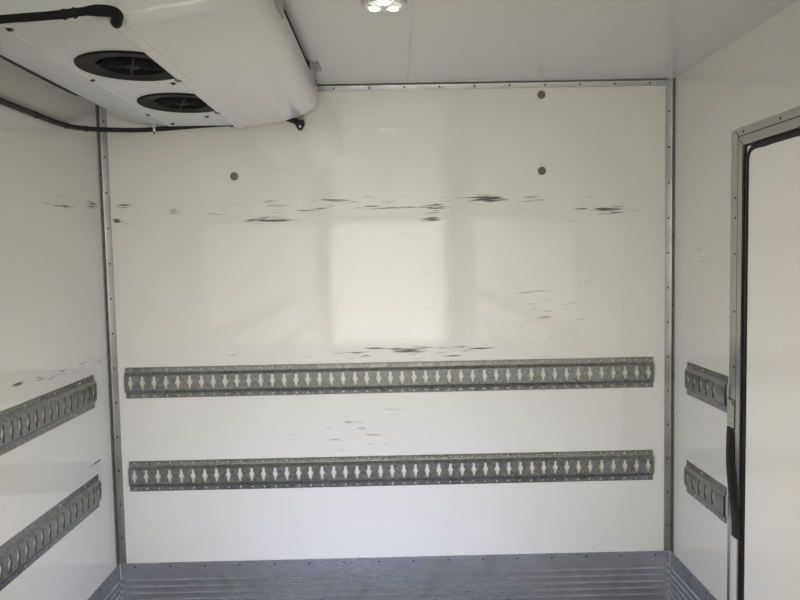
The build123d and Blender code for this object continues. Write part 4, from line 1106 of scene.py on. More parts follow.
RIGHT_MARKS = tuple(Mark(*row) for row in (
    (0.300, 0.700, 0.250, 0.300, 0.22), (3.500, 1.150, 1.700, 0.120, 0.35),
    (6.200, 0.900, 2.600, 0.260, 0.28),
))


@dataclass
class LoadSpace(Assembly):
    """Panels, floor and ceiling of the load space, with its lamps and bolt plugs."""

    white: Colour = (0.665, 0.655, 0.60)
    grey: Colour = (0.56, 0.555, 0.52)
    seam_from_left: float = 1.300
    seam_width: float = 0.009
    lamp_pitch: float = 2.6
    chip_ring: float = 0.031
    chip_radius: float = 0.0145
    chips: int = 3
    plug_radius: float = 0.017

    def build(self) -> None:
        """Dress the panels and make what is set into them."""
        room = self.room
        walls = (
            ("front_wall", FRONT_MARKS, Run.ACROSS, room.left, (1, room.front)),
            ("left_wall", LEFT_MARKS, Run.BACKWARDS, room.front, (0, room.left)),
            ("right_wall", RIGHT_MARKS, Run.BACKWARDS, room.front, (0, room.right)),
        )
        for node, marks, run, start, inner in walls:
            name = f"{node} laminate"
            self.dress(node, Laminate(name, self.white, 0.05, marks, run, start, room.ceiling, inner))
        self.dress("roof_panel", Laminate("ceiling laminate", self.grey, 0.2, dirt=0.35))
        self.dress("floor_panel", Laminate("floor underside", self.grey, 0.4, dirt=1.0))
        self.dress("floor_tread", Finishes.FLOOR)
        self.seam()
        self.lamps()
        self.plugs()

    def seam(self) -> None:
        """Sealed joint along the ceiling."""
        room = self.room
        shape = Shape()
        half = self.seam_width / 2
        bead = rounded([(-half, 0.0), (half, 0.0), (half * 0.5, 0.0009), (-half * 0.5, 0.0009)], 0.0006, 2)
        origin = room.at(self.seam_from_left, 0.0, 0.0)
        shape.prism(bead, (room.rear + 0.002 - room.front, -0.03), place(origin, KERB, DOWN))
        shape.outwards()
        self.piece("ceiling_joint", shape.mesh(), Finishes.SEALANT)

    def lamps(self) -> None:
        """Round lamps: a bezel, a lens over it and lit chips that stand a little proud of the lens."""
        low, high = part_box("ceiling_lamps")
        reach = high.x
        rise = high.z - low.z
        tops = [(Vector((0.0, y, self.room.ceiling)), DOWN)
                for y in spaced(high.y - reach, low.y + reach, self.lamp_pitch)]
        bezel, lens, chips = Shape(), Shape(), Shape()
        bezel.turned(reach, rise, ((1.0, 0.0), (1.0, 0.35), (0.95, 0.62), (0.82, 0.7), (0.78, 0.55),
                                   (0.76, 0.2), (0.0, 0.2)), 48)
        lens.turned(reach, rise, ((0.78, 0.5), (0.76, 0.78), (0.5, 0.96), (0.0, 1.0), (0.0, 0.9),
                                  (0.5, 0.86), (0.74, 0.68), (0.76, 0.5)), 48)
        for x, y in circle(self.chip_ring, self.chips, math.radians(-90)):
            chips.turned(self.chip_radius, rise, ((1.0, 0.82), (1.0, 0.97), (0.75, 1.04), (0.0, 1.06)), 20,
                         Matrix.Translation((x, y, 0.0)))
        for name, shape, finish, nodes in (
                ("lamp_bezels", bezel, Finishes.BEZEL, ("ceiling_lamps",)),
                ("lamp_lenses", lens, Finishes.LENS, ()), ("lamp_chips", chips, Finishes.LED, ())):
            self.studs(name, shape, tops, finish, 0.0, slot="lens", stands_for=nodes)

    def plugs(self) -> None:
        """Caps over the bolts through the front wall."""
        low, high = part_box("wall_plugs")
        radius = self.plug_radius
        shape = Shape()
        shape.turned(radius, high.y - low.y, ((1.0, 0.0), (1.0, 0.5), (0.9, 0.8), (0.72, 0.86), (0.66, 0.6),
                                              (0.45, 0.62), (0.3, 1.0), (0.0, 1.0)), 28)
        spots = [(Vector((x, self.room.front, z)), BACK)
                 for x in (low.x + radius, high.x - radius) for z in (low.z + radius, high.z - radius)]
        self.studs("bolt_caps", shape, spots, Finishes.PLUG, slot="grey_plastic", stands_for=("wall_plugs",))


@dataclass
class LashingRails(Assembly):
    """Galvanised rails with their slots, on the front wall and both side walls."""

    pitch: float = 0.0508
    height: float = 0.1335
    depth: float = 0.0127
    sheet: float = 0.0022
    flange: float = 0.022
    crest: float = 0.066
    slot_width: float = 0.0125
    slot_height: float = 0.058
    eye: float = 0.0245
    hole: float = 0.0036
    drops: Flat = (1.250, 1.660)
    side_start: float = 0.175
    short_start: float = 0.163
    short_length: float = 0.348
    short_slots: int = 5
    short_stretch: float = 1.12
    rear_gap: float = 0.090
    screw_every: int = 4

    def build(self) -> None:
        """Make the rails cell by cell, then their screws."""
        room = self.room
        low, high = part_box("front_tracks")
        front_cells = round((high.x - low.x) / self.pitch)
        front, sides, screws = [], [], []
        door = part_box("side_door_frame")
        rear = room.rear + self.rear_gap
        left_front = room.front - self.side_start
        left_cells = int((left_front - rear) / self.pitch)
        right_front = door[0].y - self.rear_gap
        right_cells = int((right_front - rear) / self.pitch)
        for drop in self.drops:
            z = room.ceiling - drop
            runs = (
                (front, Vector((low.x, room.front, z)), KERB, front_cells, 1.0),
                (sides, Vector((room.left, left_front - left_cells * self.pitch, z)), AHEAD, left_cells, 1.0),
                (sides, Vector((room.right, room.front - self.short_start, z)), BACK, self.short_slots,
                 self.short_stretch),
                (sides, Vector((room.right, right_front, z)), BACK, right_cells, 1.0),
            )
            for kept, start, along, count, stretch in runs:
                kept.append(self.rail(start, along, count, stretch))
                screws += self.screw_places(start, along, count, stretch)
            slotted = self.short_slots * self.pitch * self.short_stretch
            sides.append(self.plain_end(Vector((room.right, room.front - self.short_start - slotted, z)),
                                        self.short_length - slotted))
        self.piece("front_rails", thickened(joined(front), self.sheet), Finishes.RAIL, slot="galvanised",
                   stands_for=("front_tracks",))
        self.piece("side_rails", thickened(joined(sides), self.sheet), Finishes.RAIL, slot="galvanised",
                   stands_for=("side_tracks",))
        # Pale strips behind the side rails' slots: painted light, not part of the rails.
        self.backing((right_front, right_cells), (left_front, left_cells))
        self.studs("rail_screws", stud(0.0055, 0.0028, 0.0012), screws, Finishes.BRIGHT_SCREW)

    def backing(self, right: tuple[float, int], left: tuple[float, int]) -> None:
        """Pale strips inside the side rails, which show through the slots: painted light, making the slots
        read bright where the wall behind lies in the rails' shade.
        """
        room = self.room
        shape = Shape()
        short = (room.front - self.short_start, self.short_slots)
        outline = slab((-0.031, 0.0), (0.031, 0.0045), 0.001, 2)
        for side, (start, count) in ((Side.RIGHT, short), (Side.RIGHT, right), (Side.LEFT, left)):
            for drop in self.drops:
                at = place(Vector((side.value * room.right, 0.0, room.ceiling - drop)), UP, side.inwards)
                way = at.to_3x3().col[2].y
                ends = sorted(way * y for y in (start - 0.002, start - count * self.pitch + 0.002))
                shape.prism(outline, tuple(ends), at)
        shape.outwards()
        self.piece("rail_backing", shape.mesh(), Finishes.TRAY)

    def bends(self) -> list[Flat]:
        """Height and rise of the rail's upper half, from the rim to the crest."""
        top, foot, crest = self.height / 2, self.height / 2 - self.flange, self.crest / 2
        skin = self.sheet + 0.0005
        return [(top, skin), (foot + 0.0015, skin), (foot - 0.0008, skin + 0.0008),
                (crest + 0.0016, self.depth - 0.001), (crest, self.depth)]

    def slot(self) -> list[Flat]:
        """Outline of one slot: upright, with a round eye in its middle."""
        w, h, r = self.slot_width / 2, self.slot_height / 2, self.eye / 2
        lean = math.asin(w / r)
        quarter = [(w * 0.55, h), (w, h - w * 0.45)]
        angles = [math.pi / 2 - lean - (math.pi - 2 * lean) * k / 6 for k in range(7)]
        eye = [(r * math.cos(a), r * math.sin(a)) for a in angles]
        right = quarter + eye + [(x, -y) for x, y in reversed(quarter)]
        return list(reversed(right + [(-x, -y) for x, y in right]))

    def cell(self) -> Shape:
        """One pitch of a rail as a bent sheet: along, up and out of the wall."""
        shape = Shape()
        half = self.pitch / 2
        crest = self.crest / 2
        self.face(shape, half, -crest, crest, self.slot(), self.depth)
        bends = self.bends()
        for sign in (-1, 1):
            (rim, skin), (foot, _) = bends[0], bends[1]
            low, high = sorted((sign * rim, sign * foot))
            middle = sign * (rim + foot) / 2
            hole = [(x, y + middle) for x, y in circle(self.hole, 8)]
            self.face(shape, half, low, high, hole, skin)
            for (a, rise_a), (b, rise_b) in zip(bends[1:], bends[2:]):
                points = [(-half, sign * a, rise_a), (half, sign * a, rise_a), (half, sign * b, rise_b),
                          (-half, sign * b, rise_b)]
                shape.add(points, [(0, 1, 2, 3) if sign < 0 else (3, 2, 1, 0)])
        return shape

    def face(self, shape: Shape, half: float, low: float, high: float, hole: Sequence[Flat],
             rise: float) -> None:
        """A flat sheet with a hole in it, facing out of the wall."""
        loops = [[(-half, low), (half, low), (half, high), (-half, high)], hole]
        shape.add([(x, y, rise) for loop in loops for x, y in loop], filled(loops))

    def rail(self, start: Vector, along: Vector, count: int, stretch: float) -> Mesh:
        """One rail on a wall, from its start, its pitch stretched if need be."""
        mesh = in_row(self.cell(), Finishes.RAIL, KERB * self.pitch / 2, KERB * self.pitch, count)
        mesh.transform(place(start, along, UP) @ Matrix.Diagonal((stretch, 1.0, 1.0, 1.0)))
        return mesh

    def plain_end(self, start: Vector, length: float) -> Mesh:
        """Unslotted end of the short rails."""
        shape = Shape()
        bends = self.bends()
        section = [(-y, rise) for y, rise in bends] + [(y, rise) for y, rise in reversed(bends)]
        at = place(start, BACK, UP)
        shape.loft([[at @ Vector((x, y, rise)) for x in (0.0, length)] for y, rise in section])
        mesh = shape.mesh()
        mesh.flip_normals()
        return mesh

    def screw_places(self, start: Vector, along: Vector, count: int, stretch: float) -> Spots:
        """Places of the screws in the flanges' holes."""
        out = along.cross(UP)
        middle = self.height / 2 - self.flange / 2
        spots = []
        for i in range(1, count, self.screw_every):
            for sign in (-1, 1):
                near = i + (1 if sign > 0 and i + 1 < count else 0)
                point = start + along * self.pitch * stretch * (near + 0.5) + out * self.sheet
                spots.append((point + Vector((0, 0, sign * middle)), out))
        return spots


@dataclass
class InnerTrims(Assembly):
    """Angles in the corners, the finish of the ribbed kick plates and the screws that hold both."""

    leg: float = 0.032
    top_leg: float = 0.026
    sheet: float = 0.002
    bend: float = 0.005
    pitch: float = 0.150
    screw_share: float = 0.55
    kick_screws: float = 0.148
    kick_drop: float = 0.018
    kick_sheet: float = 0.003

    def build(self) -> None:
        """Make the angles and every row of screws, and dress the kick plates."""
        low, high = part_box("inner_trims")
        room = self.room
        shape = Shape()
        section = self.angle(self.leg)
        for side in Side:
            at = place(Vector((side.value * room.right, room.front, 0.0)), side.inwards, BACK)
            depth = (-high.z, -low.z) if side is Side.LEFT else (low.z, high.z)
            shape.prism(section, depth, at)
        top = place(Vector((0.0, room.front, room.ceiling)), BACK, DOWN)
        shape.prism(self.angle(self.top_leg), (-room.right + self.leg, room.right - self.leg), top)
        shape.outwards()
        self.piece("corner_angles", shape.mesh(), Finishes.TRIM, slot="profile", stands_for=("inner_trims",))
        self.dress("kick_plates", Finishes.KICK)
        self.studs("trim_screws", stud(0.0042, 0.0022, 0.0008), self.screws(low.z, high.z), Finishes.SCREW)

    def angle(self, leg: float) -> list[Flat]:
        """Section of an angle that sits in a corner, its bend rounded."""
        corner = [(leg, self.sheet), (self.sheet, self.sheet), (self.sheet, leg)]
        inner = rounded(corner, self.bend, 4, closed=False)
        return [(0.0, 0.0), (leg, 0.0), *inner, (0.0, leg)]

    def screws(self, low: float, high: float) -> Spots:
        """Places of the screws: corners, ceiling angle and kick plates."""
        room = self.room
        spots = []
        middle = self.leg * self.screw_share
        for side in Side:
            for i, z in enumerate(spaced(low + 0.04, high - 0.06, self.pitch / 2)):
                x, y, facing = (middle, self.sheet, BACK) if i % 2 else (self.sheet, middle, side.inwards)
                spots.append((Vector((side.value * (room.right - x), room.front - y, z)), facing))
        for x in spaced(room.left + 0.1, room.right - 0.1, self.pitch):
            drop = self.top_leg * self.screw_share
            spots.append((Vector((x, room.front - self.sheet, room.ceiling - drop)), BACK))
        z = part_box("kick_plates")[1].z - self.kick_drop
        for x in spaced(room.left + 0.07, room.right - 0.07, self.kick_screws):
            spots.append((Vector((x, room.front - self.kick_sheet, z)), BACK))
        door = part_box("side_door_frame")
        front, rear = room.front - 0.06, room.rear + 0.05
        for side, start, end in ((Side.LEFT, front, rear), (Side.RIGHT, front, door[1].y + 0.05),
                                 (Side.RIGHT, door[0].y - 0.05, rear)):
            for y in spaced(start, end, self.kick_screws):
                spots.append((Vector((side.value * (room.right - self.kick_sheet), y, z)), side.inwards))
        return spots


# Evaporator


def drawn_in(line: Sequence[Flat], amounts: Sequence[float]) -> list[Flat]:
    """An open line with each point moved to its left by its own amount."""
    made = []
    for i, (x, y) in enumerate(line):
        along = (Vector(line[min(i + 1, len(line) - 1)]) - Vector(line[max(i - 1, 0)])).normalized()
        made.append((x - along.y * amounts[i], y + along.x * amounts[i]))
    return made


def round_ended(shape: Shape, line: Sequence[Flat], near: float, far: float, radii: Sequence[float],
                steps: int = 5) -> list[list[Vector]]:
    """A section of X and Z carried along Y, with both ends rounded off.

    Args:
        shape: Mesh that it is added to.
        line: Open section, its outer side on the right hand.
        near: Rear end.
        far: Front end.
        radii: Radius at the ends for each point of the section.
        steps: Pieces of each round.

    Returns:
        The two end sections, the front one first.
    """
    angles = [math.pi / 2 * k / steps for k in range(steps + 1)]
    stations = []
    for end, way, order in ((far, -1, angles), (near, 1, angles[::-1])):
        for a in order:
            inner = drawn_in(line, [r * (1 - math.sin(a)) for r in radii])
            back = way * (1 - math.cos(a))
            stations.append([Vector((x, end + back * r, z)) for (x, z), r in zip(inner, radii)])
    shape.loft(stations)
    return [stations[0], stations[-1]]


def rotor_shape(radius: float, hub: float, length: float, blades: int) -> Shape:
    """A fan rotor that stands on its hub: a domed hub and curved, twisted blades.

    Args:
        radius: Radius at the blades' tips.
        hub: Radius of the hub.
        length: Length of the hub.
        blades: Number of blades.

    Returns:
        The rotor, about the local third axis.
    """
    shape = Shape()
    shape.turned(hub, length, ((0.0, 0.0), (0.98, 0.0), (1.0, 0.06), (1.0, 0.86), (0.93, 0.97), (0.8, 1.0),
                               (0.0, 1.0)), 36)
    rounds = [(u, 1) for u in (-1.0, -0.6, -0.1, 0.45, 1.0)] + [(u, -1) for u in (0.45, -0.1, -0.6)]
    stations = 7
    for blade in range(blades):
        sections = []
        for s in range(stations):
            t = s / (stations - 1)
            r = hub * 0.96 + (radius - hub * 0.96) * t
            pitch = math.radians(46 - 20 * t)
            chord = length * (1.02 + 0.10 * t)
            sweep = 0.35 * t * t
            turn = 2 * math.pi * (blade + 0.5) / blades + sweep
            loop = []
            for u, side in rounds:
                thick = 0.0013 * (1 - 0.55 * abs(u)) * side
                arc = 0.09 * chord * (1 - u * u)
                along, up = u * chord / 2, thick + arc
                y = along * math.cos(pitch) - up * math.sin(pitch)
                z = length / 2 + along * math.sin(pitch) + up * math.cos(pitch)
                z = min(max(z, length * 0.01), length * 0.99)
                angle = turn + y / r
                loop.append(Vector((r * math.cos(angle), r * math.sin(angle), z)))
            sections.append(loop)
        shape.loft(sections, closed=True)
        shape.cap(sections[-1], sections[0])
    shape.outwards()
    return shape


@dataclass
class Evaporator(Assembly):
    """Ceiling evaporator: cowl, tray, fan guards and what hangs on them."""

    fans: tuple[str, str] = ("front", "rear")
    fan_hub: float = 0.045
    fan_blades: int = 6
    ceiling_gap: float = 0.0005
    crease: float = 0.319
    bead: Flat = (0.0045, 0.0022)
    side_rise: float = 0.025
    sheet: float = 0.0025
    inset: float = 0.0060
    wall: float = 0.0035
    lip: Flat = (0.588, 0.620)
    lip_drop: float = 0.012
    step_drop: float = 0.0065
    belly: tuple[Flat, ...] = ((0.690, 0.000), (0.790, 0.010), (0.856, 0.029), (0.914, 0.055), (0.931, 0.080),
                               (0.935, 0.105))
    slot: float = 0.038
    end_radius: float = 0.018
    nose_radius: float = 0.060
    ring_first: float = 0.030
    ring_step: float = 0.0080
    ring_count: int = 8
    wire: float = 0.0012
    throat: float = 0.095
    tray_radius: float = 0.010
    tray_screws: tuple[Flat, ...] = ((0.330, 1.300), (0.322, 0.825), (0.550, 0.768), (0.312, 0.304),
                                     (0.518, 0.251), (0.345, 0.120))
    lip_clips: tuple[Flat, ...] = ((0.589, 0.842), (0.589, 0.366))
    grille_pitch: float = 0.011
    pipe_radius: float = 0.0094
    cable_radius: float = 0.0095
    # Radius of the black tube that paints the shade along the tray's left edge.
    edge_shade_radius: float = 0.0060
    clip_from_left: float = 0.244

    def build(self) -> None:
        """Make every piece of the unit."""
        self.low, self.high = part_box("evaporator_plate")
        self.cowl_low, self.cowl_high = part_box("evaporator_case")
        self.base = self.low.z
        self.tray()
        self.cowl()
        self.guards()
        self.rotors()
        self.grille()
        self.fasteners()
        self.pipe()
        self.cable()
        self.drain()

    def x(self, from_left: float) -> float:
        """A place measured from the left wall."""
        return self.room.left + from_left

    def hub(self, word: str) -> Vector:
        """Middle of one fan, at the height of the tray."""
        low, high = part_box(f"evaporator_rotor_{word}")
        return Vector(((low.x + high.x) / 2, (low.y + high.y) / 2, self.base))

    def tray(self) -> None:
        """Folded bottom sheet with its two fan holes."""
        side, crease, seam = self.low.x, self.x(self.crease), self.high.x
        corner = [(side, self.room.ceiling - self.ceiling_gap), (side, self.base + self.side_rise),
                  (crease, self.base), (crease + 0.03, self.base)]
        line = rounded(corner, 0.009, 4, closed=False)
        inner, radius, steps = line[-1][0], self.tray_radius, 5
        shape = Shape()
        near, far = self.low.y + self.inset, self.high.y - self.inset
        ends = round_ended(shape, line, near, far, [radius] * len(line), steps)
        for end, start, way in zip(ends, (far, near), (1, -1)):
            strip = []
            for k in range(steps + 1):
                a = math.pi / 2 * k / steps
                z = self.base + radius * (1 - math.sin(a))
                y = start - way * radius * (1 - math.cos(a))
                strip.append([Vector((inner, y, z)), Vector((seam, y, z))])
            shape.loft(strip[::way])
            cap = [*end, strip[0][1], Vector((seam, end[0].y, self.room.ceiling - self.ceiling_gap))]
            shape.cap(cap[::-way])
        front, rear = -far + radius, -near - radius
        loops = [[(inner, front), (seam, front), (seam, rear), (inner, rear)]]
        for word in self.fans:
            hub = self.hub(word)
            loops.append([(hub.x + x, -hub.y + y) for x, y in circle(self.hole_radius(), 48)])
        shape.add([(x, -y, self.base) for loop in loops for x, y in loop], filled(loops))
        self.crease_bead()
        self.piece("unit_tray", thickened(shape.mesh(), self.sheet), Finishes.TRAY, slot="white_metal",
                   stands_for=("evaporator_plate",))

    def crease_bead(self) -> None:
        """Raised bead that is pressed along the tray's crease."""
        half, rise = self.bead
        bead = Shape()
        at = place(Vector((self.x(self.crease), 0.0, self.base)), KERB, DOWN)
        outline = [(-half, -0.002), (half, -0.001), (half, 0.0), (half * 0.5, rise), (-half * 0.5, rise),
                   (-half, -0.0005)]
        bead.prism(rounded(outline, 0.002, 3), (self.low.y + 0.02, self.high.y - 0.02), at)
        bead.outwards()
        self.piece("tray_bead", bead.mesh(), Finishes.TRAY, slot="white_metal")

    def hole_radius(self) -> float:
        """Radius of the holes in the tray, just inside the guards' flanges."""
        low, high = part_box("fan_guards")
        return (high.x - low.x) / 2 - 0.005

    def cowl(self) -> None:
        """Moulded cowl with its lip over the tray, rounded at both ends."""
        start, end = (self.x(edge) for edge in self.lip)
        foot, step = self.base - self.lip_drop, self.base - self.step_drop
        lip = rounded([(start, step - 0.0004), (start, foot), (end, foot), (end + 0.004, step),
                       (end + 0.05, step + 0.003)], 0.004, 4, closed=False)
        belly = [(self.x(x), self.base + rise) for x, rise in self.belly]
        top = (self.cowl_high.x, self.room.ceiling - self.slot)
        line = [*lip, *rounded([lip[-1], *belly, top], 0.05, 4, closed=False)[1:]]
        more, last = self.nose_radius - self.end_radius, len(line) - 1
        radii = [self.end_radius + more * (i / last) ** 1.5 for i in range(last + 1)]
        shape = Shape()
        ends = round_ended(shape, line, self.cowl_low.y, self.cowl_high.y, radii, 7)
        top = self.room.ceiling - 0.0006
        for end, way in zip(ends, (1, -1)):
            cap = [*end, Vector((end[-1].x, end[0].y, top)), Vector((end[0].x, end[0].y, top))]
            shape.cap(cap[::-way])
        self.piece("unit_cowl", thickened(shape.mesh(), self.wall, 40.0), Finishes.COWL, slot="white_plastic",
                   stands_for=("evaporator_case",))

    def guards(self) -> None:
        """Round guards: a dished flange, wire rings, arms and the motor's cap."""
        low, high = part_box("fan_guards")
        rim = (high.x - low.x) / 2
        hole = self.hole_radius() - 0.003
        throat, reach = self.throat, self.throat + 0.003
        flange = [(rim, 0.0), (rim, -0.0045), (rim - 0.0015, -0.006), (rim - 0.013, -0.006),
                  (rim - 0.022, -0.0035), (throat, -0.0015), (throat - 0.002, 0.0005), (throat, 0.003),
                  (throat + 0.006, 0.0035), (hole - 0.009, 0.002), (hole - 0.007, 0.045), (hole, 0.045),
                  (hole, 0.0), (rim, 0.0)]
        arm = rounded([(0.012, -0.0035), (reach, -0.0025), (reach, 0.0025), (0.012, 0.0035)], 0.001, 2)
        cap = [(0.0, -0.0055), (0.020, -0.005), (0.024, -0.003), (0.025, 0.0), (0.025, 0.006), (0.0, 0.006)]
        meshes = []
        for word in self.fans:
            at = Matrix.Translation(self.hub(word))
            shape = Shape()
            shape.lathe(flange, 64, at)
            for k in range(4):
                turn = at @ Matrix.Rotation(math.radians(90 * k + 22), 4, "Z")
                shape.prism(arm, (-0.0045, -0.0015), turn)
            shape.lathe(cap, 28, at)
            shape.outwards()
            shape.cut(Vector((self.x(self.lip[0]) + 0.002, 0, 0)), KERB)
            meshes.append(shape.mesh())
            rings = grown(rings_group(), bpy.data.meshes.new("start"), {
                "Finish": Finishes.BLACK.material(), "Count": self.ring_count, "First": self.ring_first,
                "Step": self.ring_step, "Wire": self.wire})
            rings.transform(at @ Matrix.Translation((0, 0, -0.0032)))
            meshes.append(rings)
        self.piece("unit_fan_guards", joined(meshes), Finishes.BLACK, slot="black_plastic",
                   stands_for=("fan_guards",))

    def rotors(self) -> None:
        """One rotor on each fan's body."""
        for word in self.fans:
            low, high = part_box(f"evaporator_rotor_{word}")
            radius = (high.x - low.x) / 2 - 0.001
            mesh = rotor_shape(radius, self.fan_hub, high.z - low.z, self.fan_blades).mesh()
            hub = self.hub(word)
            mesh.transform(Matrix.Translation((hub.x, hub.y, low.z)))
            self.piece(f"unit_rotor_{word}", mesh, Finishes.BLACK, f"evaporator_fan_{word}", "black_plastic",
                       (f"evaporator_rotor_{word}",))

    def grille(self) -> None:
        """Black outlet grille in the slot under the ceiling."""
        right = self.cowl_high.x - 0.010
        low, high = self.cowl_low.y + 0.03, self.cowl_high.y - 0.03
        top, foot = self.room.ceiling - 0.001, self.room.ceiling - self.slot - 0.010
        slat = Shape()
        slat.prism(slab((-0.012, -0.001), (0.0, 0.001), 0.0006, 2), (foot, top))
        count = int((high - low) / self.grille_pitch)
        slats = in_row(slat, Finishes.BLACK, Vector((right, low, 0)), AHEAD * self.grille_pitch, count)
        backing = Shape()
        for z in (foot + 0.004, top - 0.003):
            backing.block((right - 0.013, low - 0.004, z - 0.003), (right + 0.0005, high, z + 0.003))
        backing.block((right - 0.022, low - 0.004, foot), (right - 0.016, high, top))
        backing.soften(0.0008, 2)
        self.piece("unit_outlet", joined([slats, backing.mesh()]), Finishes.BLACK,
                   slot="black_plastic", stands_for=("outlet_grille",))

    def fasteners(self) -> None:
        """Screws of the tray and the clips under the cowl's lip."""
        self.studs("tray_screws", hex_bolt(0.0105, 0.005), self.below(self.tray_screws, 0.0), Finishes.SCREW)
        clip = Shape()
        outline = [(-0.012, -0.011), (0.010, -0.011), (0.010, 0.011), (-0.006, 0.013)]
        clip.prism(rounded(outline, 0.005, 4), (0.0, 0.009))
        clip.soften(0.002, 2, 60.0)
        self.studs("lip_clips", clip, self.below(self.lip_clips, 0.004), Finishes.PLUG, 0.0)

    def below(self, places: Sequence[Flat], drop: float) -> Spots:
        """Places under the tray, from the left wall and the front wall, facing down."""
        return [(Vector((self.x(x), self.room.front - y, self.base - drop)), DOWN) for x, y in places]

    def pipe(self) -> None:
        """Insulated pipe from the unit to the left wall, with its cuff and ties."""
        rear, left, top = self.low.y, self.room.left, self.room.ceiling
        points = [Vector((left + x, rear - y, top - drop)) for x, y, drop in (
            (0.604, -0.004, 0.184), (0.611, 0.018, 0.184), (0.622, 0.030, 0.176), (0.614, 0.045, 0.171),
            (0.582, 0.055, 0.172), (0.548, 0.058, 0.176), (0.500, 0.060, 0.183), (0.430, 0.063, 0.188),
            (0.352, 0.067, 0.194), (0.270, 0.073, 0.204), (0.180, 0.081, 0.215), (0.090, 0.090, 0.220),
            (0.0, 0.090, 0.220))]
        line = smooth_route(points, 10)
        shape = Shape()
        shape.tube(line, lambda t: self.pipe_radius * (1 + 0.05 * math.sin(t * 43) * math.sin(t * 17)), 20)
        self.cuff(shape, line)
        self.piece("insulated_pipe", shape.mesh(50.0), Finishes.FOAM, slot="foam",
                   stands_for=("refrigerant_pipe",))
        ties = self.bands(line, (0.44, 0.48, 0.68, 0.94), self.pipe_radius * 1.05, 0.0028)
        self.piece("pipe_ties", ties.mesh(), Finishes.CABLE)

    def cuff(self, shape: Shape, line: Sequence[Vector]) -> None:
        """Swollen wrap of tape where the pipe turns into the unit."""
        fade, swell = 0.15, 0.30
        shape.tube(line[3:45], lambda t: self.pipe_radius * (1.05 + swell * min(1.0, (1 - t) / fade)), 20)

    def bands(self, line: Sequence[Vector], shares: Sequence[float], radius: float, half: float) -> Shape:
        """Ties round a pipe or cable at shares of its line, each with its lock below."""
        shape = Shape()
        rim = radius + 0.0014
        for share in shares:
            i = int(share * (len(line) - 2))
            at, along = line[i], (line[i + 1] - line[i]).normalized()
            side = along.cross(UP).normalized()
            shape.lathe([(radius, -half), (rim, -half), (rim, half), (radius, half), (radius, -half)], 24,
                        place(at, side, along.cross(side)))
            shape.prism(slab((-0.003, -0.003), (0.003, 0.003), 0.0008, 2), (-0.001, 0.004),
                        place(at + DOWN * rim, side, along))
        return shape

    def cable(self) -> None:
        """Fan cable along the left and front walls, with ties, its clip and its plug."""
        left, top, rear, front = self.room.left, self.room.ceiling, self.low.y, self.high.y
        wall = self.room.front
        points = [Vector((left + x, y, top - drop)) for x, y, drop in (
            (0.014, rear - 0.060, 0.205), (0.011, rear + 0.240, 0.214), (0.0104, rear + 0.560, 0.2175),
            (0.0108, rear + 0.855, 0.217), (0.012, front - 0.285, 0.215), (0.044, front - 0.200, 0.2105),
            (0.115, front - 0.106, 0.200), (0.186, front - 0.022, 0.187), (0.262, wall - 0.023, 0.175),
            (0.360, wall - 0.0105, 0.166), (0.460, wall - 0.013, 0.160), (0.558, wall - 0.018, 0.1575))]
        line = smooth_route(points, 12)
        shape = Shape()
        shape.tube(line, lambda t: self.cable_radius, 16)
        self.piece("fan_lead", shape.mesh(50.0), Finishes.CABLE, slot="foam", stands_for=("fan_cable",))
        ties = self.bands(line, (0.10, 0.24, 0.355, 0.46), self.cable_radius, 0.0024)
        along = (line[-1] - line[-4]).normalized()
        at = place(line[-1], along.cross(UP), UP)
        plug = ((1.0, -0.004), (1.35, -0.002), (1.35, 0.008), (1.1, 0.010), (1.1, 0.013), (1.4, 0.015),
                (1.4, 0.026), (1.15, 0.028), (1.15, 0.040), (0.0, 0.041))
        facing = at if at.to_3x3().col[2].dot(along) > 0 else at @ Matrix.Rotation(math.pi, 4, "Y")
        ties.lathe([(self.cable_radius * r, z) for r, z in plug], 20, facing)
        ties.outwards()
        self.piece("cable_ties", ties.mesh(), Finishes.CABLE)
        self.nylon_clip(min(line, key=lambda p: abs(p.x - left - self.clip_from_left)))
        # Black tube of painted shade along the tray's left edge.
        self.edge_shade_tube()

    def nylon_clip(self, at: Vector) -> None:
        """Pale clip that hangs the cable from the tray's front edge, its screw below."""
        shape = Shape()
        sheet, loop = 0.0018, self.cable_radius
        inner, outer = loop + 0.0003, loop + 0.0026
        shape.lathe([(inner, -0.006), (outer, -0.006), (outer, 0.006), (inner, 0.006), (inner, -0.006)], 24,
                    place(at, AHEAD, UP))
        rise = self.base - at.z + self.side_rise
        strap = rounded([(-0.0065, 0.008), (0.0065, 0.008), (0.0075, rise), (-0.0075, rise)], 0.003, 3)
        tab = slab((-0.0065, -0.022), (0.0065, -0.006), 0.003, 3)
        stand = place(at + BACK * loop * 0.6, KERB, UP)
        for outline, radius, shift in ((strap, 0.0028, 0.018), (tab, 0.003, -0.015)):
            shape.prism(outline, (0.0, sheet), stand, [[(x, y + shift) for x, y in circle(radius, 12)]])
        shape.outwards()
        self.piece("cable_clip", shape.mesh(), Finishes.CLIP)
        mesh = stud(0.0045, 0.003, 0.001).mesh()
        mesh.transform(place(at + Vector((0, -loop * 0.6 - sheet, -0.015)), KERB, UP))
        self.piece("cable_clip_screw", mesh, Finishes.CABLE)

    def edge_shade_tube(self) -> None:
        """Black tube along the tray's left edge, its ends turned up behind it: painted shade, standing in for
        the shaded gap past that edge, where the unit's dark inside also shows.
        """
        side, z = self.low.x - self.edge_shade_radius * 0.8, self.base + self.side_rise + 0.002
        route = ((0.02, 0.060), (0.08, 0.004), (0.32, 0.001), (0.60, 0.0), (0.95, 0.003), (1.02, 0.060))
        points = [Vector((side - 0.004 * math.sin(5 * k), self.low.y + y, z + rise))
                  for k, (y, rise) in enumerate(route)]
        shape = Shape()
        shape.tube(smooth_route(points, 8), lambda t: self.edge_shade_radius, 10)
        self.piece("sensor_lead", shape.mesh(50.0), Finishes.CABLE)

